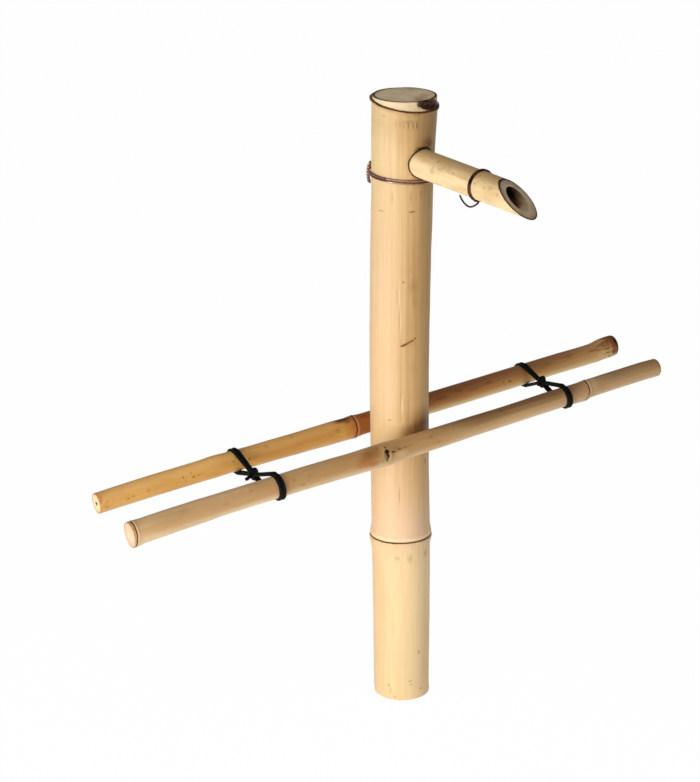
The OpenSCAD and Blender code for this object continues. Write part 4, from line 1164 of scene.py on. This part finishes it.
def copperMaterial(name, look):
    # drawn copper gone brown: fine bright marks along the wire, rubbed copper that also stands in as painted
    # highlight, darker patches, and painted shade toward the wire's edges
    material, tree, shader = startMaterial(name)
    vector = objectPlace(tree)
    patches = useGroup(tree, blotchGroup, {"Vector": vector, "Scale": look["patches"], "Stretch": 1.0})[0]
    colour = mixColour(tree, patches, shade(look["mid"]), shade(look["dark"]))
    along = readAttribute(tree, "along")
    drawn = addNode(tree, "CombineXYZ", {0: along, 1: readAttribute(tree, "round")}).outputs[0]
    rubbedHighlight = remap(tree, noise(tree, drawn, 300.0, 3.0), 0.48, 0.72)
    colour = paint(tree, colour, rubbedHighlight, look["rubbedHighlight"], look["bright"])
    # painted shade: darker where the wire turns away from the view, at its edges
    edge = remap(tree, addNode(tree, "LayerWeight", {"Blend": 0.5}).outputs["Facing"], 0.35, 0.85)
    colour = paint(tree, colour, edge, 0.85, look["dark"])
    fill(tree, shader, {"Base Color": colour, "Roughness": remap(tree, patches, 0, 1, 0.2, 0.34, "LINEAR"),
        "Metallic": remap(tree, patches, 0, 1, 1.0, 0.85, "LINEAR"),
        "Normal": bumped(tree, rubbedHighlight, 0.3, 0.05)})
    return material


def windingTurn(count, lift, radius, pitch):
    # angle and height of a helix of so many turns round Z, whose ends leave along tangents to radius lift
    rise = math.acos(radius / lift)
    angle = np.linspace(rise, 2 * math.pi * count - rise, 60 * count)
    return angle, pitch * (count / 2 - angle / (2 * math.pi))


def makePostWire():
    lift, radius = postWire["lift"], postWire["radius"]
    turned = axisTurn("z", postWire["lowSide"]) @ axisTurn("y", postWire["lean"])
    turned = turned @ axisTurn("z", postWire["turn"])
    angle, z = windingTurn(wire["turns"], lift, radius, wire["pitch"])
    z = z + 0.12 * np.sin(3 * angle) * np.sin(angle / 2)
    around = np.stack([radius * np.cos(angle), radius * np.sin(angle), z], -1)
    around = around @ turned.T + [0, 0, postWire["z"]]
    side, up = postCentre(around[:, 2])                   # laid on the post's own surface
    a = np.arctan2(around[:, 1] - up, around[:, 0] - side)
    r = postRadius(around[:, 2], a) + wire["radius"] - 0.04
    around = np.stack([side + r * np.cos(a), up + r * np.sin(a), around[:, 2]], -1)
    # the twisted pair's middle line: up, folded over and down again
    half, legZ, top = postWire["fold"], postWire["twistDown"], postWire["twistUp"] - postWire["fold"] - 1.4
    fold = np.radians(np.arange(0, 181, 15))
    core = np.concatenate([
        [[lift, 0, v] for v in np.linspace(-0.6, top, 6)[:-1]],
        np.stack([lift + postWire["foldOut"] * fold / math.pi, half * (1 - np.cos(fold)),
            top + half * np.sin(fold)], -1),
        [[lift + postWire["foldOut"], 2 * half, v] for v in np.linspace(top, -legZ, 9)[1:]]])
    core[:, 0] -= postWire["bend"] * ((core[:, 2] + 1) / 8.6) ** 2          # both ends lean back to the post
    core, along = smoothPath(core, 0.25)
    heading, sideways = carriedSides(core)
    other = np.cross(heading, sideways)
    strands = []
    for phase in (0, math.pi):
        t = 2 * math.pi * along / wire["strandPitch"] + phase
        offset = wire["strand"] * ease(along, 0, 1.5)
        strand = core + (offset * np.cos(t))[:, None] * sideways + (offset * np.sin(t))[:, None] * other
        strands.append(strand @ turned.T + [0, 0, postWire["z"]])
    skip = 6                                # leaves room for the bend from the winding into the pair
    path = np.concatenate([strands[0][skip:][::-1][::3], around[4:-4:2], strands[1][skip:][::3]])
    return joinTubes("postWire", [tubeRings(path, wire["radius"], wire["around"], 0.4)])


def makeSpoutWire():
    turned = spoutTurned @ axisTurn("x", spoutWire["tailTurn"])
    middle = spoutCulm["origin"] + turned @ [spoutWire["at"], 0, 0]
    turned = turned @ axisTurn("y", 90)
    angle, z = windingTurn(wire["turns"], spoutWire["lift"], spoutWire["radius"], -spoutWire["pitch"])
    z = z + spoutWire["shift"] + 0.08 * np.sin(2 * angle + 1)
    r = spout["radius"] + wire["radius"] + 0.02
    around = np.stack([r * np.cos(angle), r * np.sin(angle), z], -1)
    # the free end goes on under the spout, turns back sharply and hangs in an open bow
    tail = [(10.95, -1.9, 0.55), (11.0, 0.2, 0.62), (11.0, 1.7, 0.7), (11.45, 2.4, 0.7), (12.2, 2.1, 0.4),
        (13.3, 1.5, 0.1), (14.7, 0.9, -0.8), (15.9, 0.4, -2.5), (16.3, 0.2, -5.2), (15.5, 0.1, -8.9),
        (14.1, 0.1, -12.3), (12.6, 0.1, -14.8), (11.1, 0.1, -16.8)]
    world = np.concatenate([around[:-3], tail]) @ turned.T + middle
    return joinTubes("spoutWire", [tubeRings(world, wire["radius"] * 0.92, wire["around"], 0.35)])


addPiece("postWire", makePostWire(), [copperMaterial("postCopper", postCopper)], "post",
    ["post_wire", "post_wire_twist"])
addPiece("spoutWire", makeSpoutWire(), [copperMaterial("spoutCopper", spoutCopper)], "post",
    ["spout_wire", "spout_wire_tail"])

# Cord ties
cord = {"diameter": 2.5, "pitch": 2.8, "around": 22, "lobes": 3, "depth": 0.075, "lay": 6.5, "gather": 0.72}
ties = {"leftTie": {"at": -121.0, "frontShift": 3.4, "rearShift": 0.0, "knotUp": 0.0, "cord": 1.0,
        "stub": (-160, 3.6), "long": (12, -98, 8.0)}, "rightTie": {"at": 121.0, "frontShift": 0.5,
        "rearShift": 1.0, "knotUp": 2.3, "cord": 0.92, "stub": (-20, 5.4), "long": (12, -98, 5.0)}}
knot = {"turns": 2.2, "spread": 1.28, "wide": 3.15, "tall": 3.0, "start": 0.6, "outer": 3.9}
cordLook = {"dark": "#030304", "light": "#0F1012"}


def cordMaterial():
    # black braided cord: a fine diamond braid that follows the cord
    material, tree, shader = startMaterial("blackCord")
    along, around = readAttribute(tree, "along"), readAttribute(tree, "round")
    waves = []
    for sign in (1, -1):
        phase = plus(tree, times(tree, along, 4200.0), times(tree, around, sign * 16 * math.pi))
        waves.append(maths(tree, "SINE", phase))
    braid = remap(tree, maths(tree, "MAXIMUM", waves[0], waves[1]), -0.2, 1.0)
    fuzz = noise(tree, objectPlace(tree), 2600.0, 3.0)
    tone = times(tree, braid, remap(tree, fuzz, 0.3, 0.7))
    colour = mixColour(tree, tone, shade(cordLook["dark"]), shade(cordLook["light"]))
    fill(tree, shader, {"Base Color": colour, "Roughness": remap(tree, fuzz, 0.3, 0.7, 0.55, 0.75),
        "Specular IOR Level": 0.12, "Sheen Weight": 0.02, "Sheen Roughness": 0.4,
        "Normal": bumped(tree, braid, 0.6, 0.12)})
    return material


def cordLoop(caneRadiusThere, reach, lift, side, thick, shift):
    # out of the knot, over and round the cane and back, as a doubled cord side by side
    r = caneRadiusThere + thick * cord["diameter"] / 2 - 0.08
    distance = math.hypot(reach, lift)
    rise, lean = math.asin(r / distance), math.atan2(lift, reach)
    tangent = distance * math.cos(rise)
    sweep = math.pi + 2 * rise
    a = math.pi / 2 + rise + lean - sweep * np.linspace(0, 1, 30)
    r = r - 0.75 * np.clip(-np.sin(a), 0, 1) ** 2 - 0.9 * np.clip(np.sin(a), 0, 1) ** 2      # pulled tight
    around = np.stack([reach + r * np.cos(a), lift + r * np.sin(a)], -1)
    out = np.linspace(1.0, tangent - 1.5, 7)[:, None] * [[math.cos(rise + lean), math.sin(rise + lean)]]
    back = np.linspace(tangent - 1.5, 1.0, 7)[:, None] * [[math.cos(lean - rise), math.sin(lean - rise)]]
    line = np.concatenate([out, around, back])
    reached = ease(np.hypot(*line.T), 4, tangent)
    spread = cord["gather"] + (1 - cord["gather"]) * reached
    slack = 0.12 * np.sin(np.linspace(0, 9, len(line))) + shift * reached
    return [np.stack([half * thick * spread * cord["pitch"] / 2 + slack, side * line[:, 0], line[:, 1]], -1)
        for half in (-1, 1)]


def makeTie(name, tie):
    frontLift, rearLift = (float(easeThrough(np.array([tie["at"]]), c["height"])[0]) - tie["knotUp"]
        for c in (frontCane, rearCane))
    frontR, rearR = (float(np.asarray(caneRadius(c)(np.array([tie["at"]]), np.array([0.0]))).ravel()[0])
        for c in (frontCane, rearCane))
    thick = tie["cord"]
    lines = cordLoop(frontR, -frontOff, frontLift, -1, thick, tie["frontShift"])
    lines += cordLoop(rearR, rearOff, rearLift, 1, thick, tie["rearShift"])
    # wraps: two turns round the crossing, then one strand slanting over them
    t = np.linspace(0, 2 * knot["turns"] * math.pi, 60)
    along = knot["spread"] * (t / (knot["turns"] * math.pi) - 1) + 0.25 * np.sin(t)
    lines.append(np.stack([along, knot["wide"] * np.cos(t + knot["start"]),
        knot["tall"] * np.sin(t + knot["start"])], -1))
    t = np.linspace(-0.12 * math.pi, 0.95 * math.pi, 20)
    lines.append(np.stack([knot["tall"] * np.cos(t), 1.1 * np.cos(t + 0.8) + 0.6,
        knot["outer"] * np.sin(t)], -1))
    tipTurn, stubLean = tie["long"], tie["stub"]
    for lean, length, sideways in ((tipTurn[1], tipTurn[2], tipTurn[0]), (stubLean[0], stubLean[1], 0)):
        direction = axisTurn("y", lean) @ axisTurn("x", sideways) @ [0, 0, 1]
        bend = np.array([0, 0, -0.5])
        lines.append(np.array([direction * length * s + bend * s ** 2 for s in np.linspace(0.2, 1, 6)]))
    tubes = []
    for line in lines:
        world = (line + [tie["at"], 0, tie["knotUp"]]) @ armTurned.T + armOrigin
        tubes.append(tubeRings(world, thick * cord["diameter"] / 2, cord["around"], 0.4, cord["lobes"],
            cord["depth"], cord["lay"]))
    return joinTubes(name, tubes)


blackCord = cordMaterial()
for name, tie in ties.items():
    side = name.replace("Tie", "_tie")
    addPiece(name, makeTie(name, tie), [blackCord], "arms",
        [side + "_front_loop", side + "_rear_loop", side + "_knot"])


# Water path: the CAD solids stay, with their own finishes
def plasticMaterial(name, look):
    material, tree, shader = startMaterial(name)
    vector = objectPlace(tree)
    cloud = noise(tree, vector, look["scale"], 4.0)
    marks = useGroup(tree, speckGroup, {"Vector": vector, "Scale": 420.0, "Size": 0.25, "Amount": 0.06})[0]
    colour = mixColour(tree, remap(tree, cloud, 0.3, 0.7), shade(look["dark"]), shade(look["light"]))
    colour = paint(tree, colour, marks, 0.4, look["mark"])
    fill(tree, shader, {"Base Color": colour, "Roughness": remap(tree, cloud, 0.3, 0.7, *look["rough"]),
        "Transmission Weight": look["clear"], "Normal": bumped(tree, cloud, 0.4, 0.08)})
    return material


waterLooks = {"supply_hose": {"scale": 90.0, "dark": "#C9D3D2", "light": "#E2E9E6", "mark": "#B4B79E",
        "rough": (0.18, 0.3), "clear": 0.35}, "hose_elbow": {"scale": 700.0, "dark": "#35373A",
        "light": "#46484B", "mark": "#5A5C5E", "rough": (0.45, 0.6), "clear": 0.0},
    "spout_seal": {"scale": 900.0, "dark": "#151515", "light": "#232323", "mark": "#303030",
        "rough": (0.65, 0.8), "clear": 0.0}}
for node, look in waterLooks.items():
    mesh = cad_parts[node].data
    mesh.materials.clear()
    mesh.materials.append(plasticMaterial(node + "Finish", look))
print("water path finished")

# Studio: a pale floor that keeps the shadow, a pale world and soft lamps
studio = {"floor": "#FAFAF9", "floorRadius": 9.0, "floorWhite": 0.985, "world": 0.22, "aim": (0, 0, 0.22),
    "lamps": [("keyLamp", 200.0, 0.28, 1.35, 0.6, 0.5, 11.5), ("topLamp", -110.0, 1.5, 0.5, 0.9, 0.9, 4.5),
        ("lowLamp", -115.0, 0.07, 0.5, 1.2, 0.12, 1.2)]}


def makeStudio():
    ring = np.radians(np.arange(0, 360, 5))
    rings = np.stack([np.stack([r * 1000 * np.cos(ring), r * 1000 * np.sin(ring), 0 * ring - 0.05], -1)
        for r in (0.5, 2.0, studio["floorRadius"])])
    low = rings[::-1] - [0, 0, 5.0]
    mesh = closedSurface("floor", np.concatenate([rings, low]), [0, 0, -0.05], [0, 0, -5.05])
    floor = bpy.data.objects.new("floor", mesh)
    scene.collection.objects.link(floor)
    material, tree, shader = startMaterial("paleFloor")
    fill(tree, shader, {"Base Color": shade(studio["floor"]), "Roughness": 0.9, "Specular IOR Level": 0.0})
    light = addNode(tree, "LightPath")
    seen = maths(tree, "MAXIMUM", light.outputs["Is Camera Ray"], light.outputs["Is Glossy Ray"])
    seen = maths(tree, "MAXIMUM", seen, light.outputs["Is Transmission Ray"])
    white = addNode(tree, "Emission", {"Color": (1, 1, 1, 1), "Strength": 1.0})
    mixed = addNode(tree, "MixShader", {0: times(tree, seen, studio["floorWhite"]),
        1: shader.outputs[0], 2: white.outputs[0]})
    fill(tree, tree.nodes["Material Output"], {"Surface": mixed.outputs[0]})
    mesh.materials.append(material)
    world = bpy.data.worlds.new("studio")
    world.use_nodes = True
    scene.world = world
    tree = world.node_tree
    light = addNode(tree, "LightPath")
    seen = maths(tree, "MAXIMUM", light.outputs["Is Camera Ray"], light.outputs["Is Transmission Ray"])
    level = plus(tree, studio["world"], times(tree, seen, 1 - studio["world"]))
    fill(tree, tree.nodes["Background"], {"Color": (1, 1, 1, 1), "Strength": level})
    for name, turn, z, distance, width, tall, power in studio["lamps"]:
        data = bpy.data.lights.new(name, "AREA")
        data.shape, data.size, data.size_y, data.energy = "RECTANGLE", width, tall, power
        lamp = bpy.data.objects.new(name, data)
        lamp.visible_camera = False
        away = np.array([math.cos(math.radians(turn)), math.sin(math.radians(turn)), 0])
        where = away * distance + [0, 0, z]
        back = unit(where - np.array(studio["aim"]))
        side = unit(np.cross([0, 0, 1], back))
        place(lamp, side, np.cross(back, side), back, where)


makeStudio()
print("studio lit")
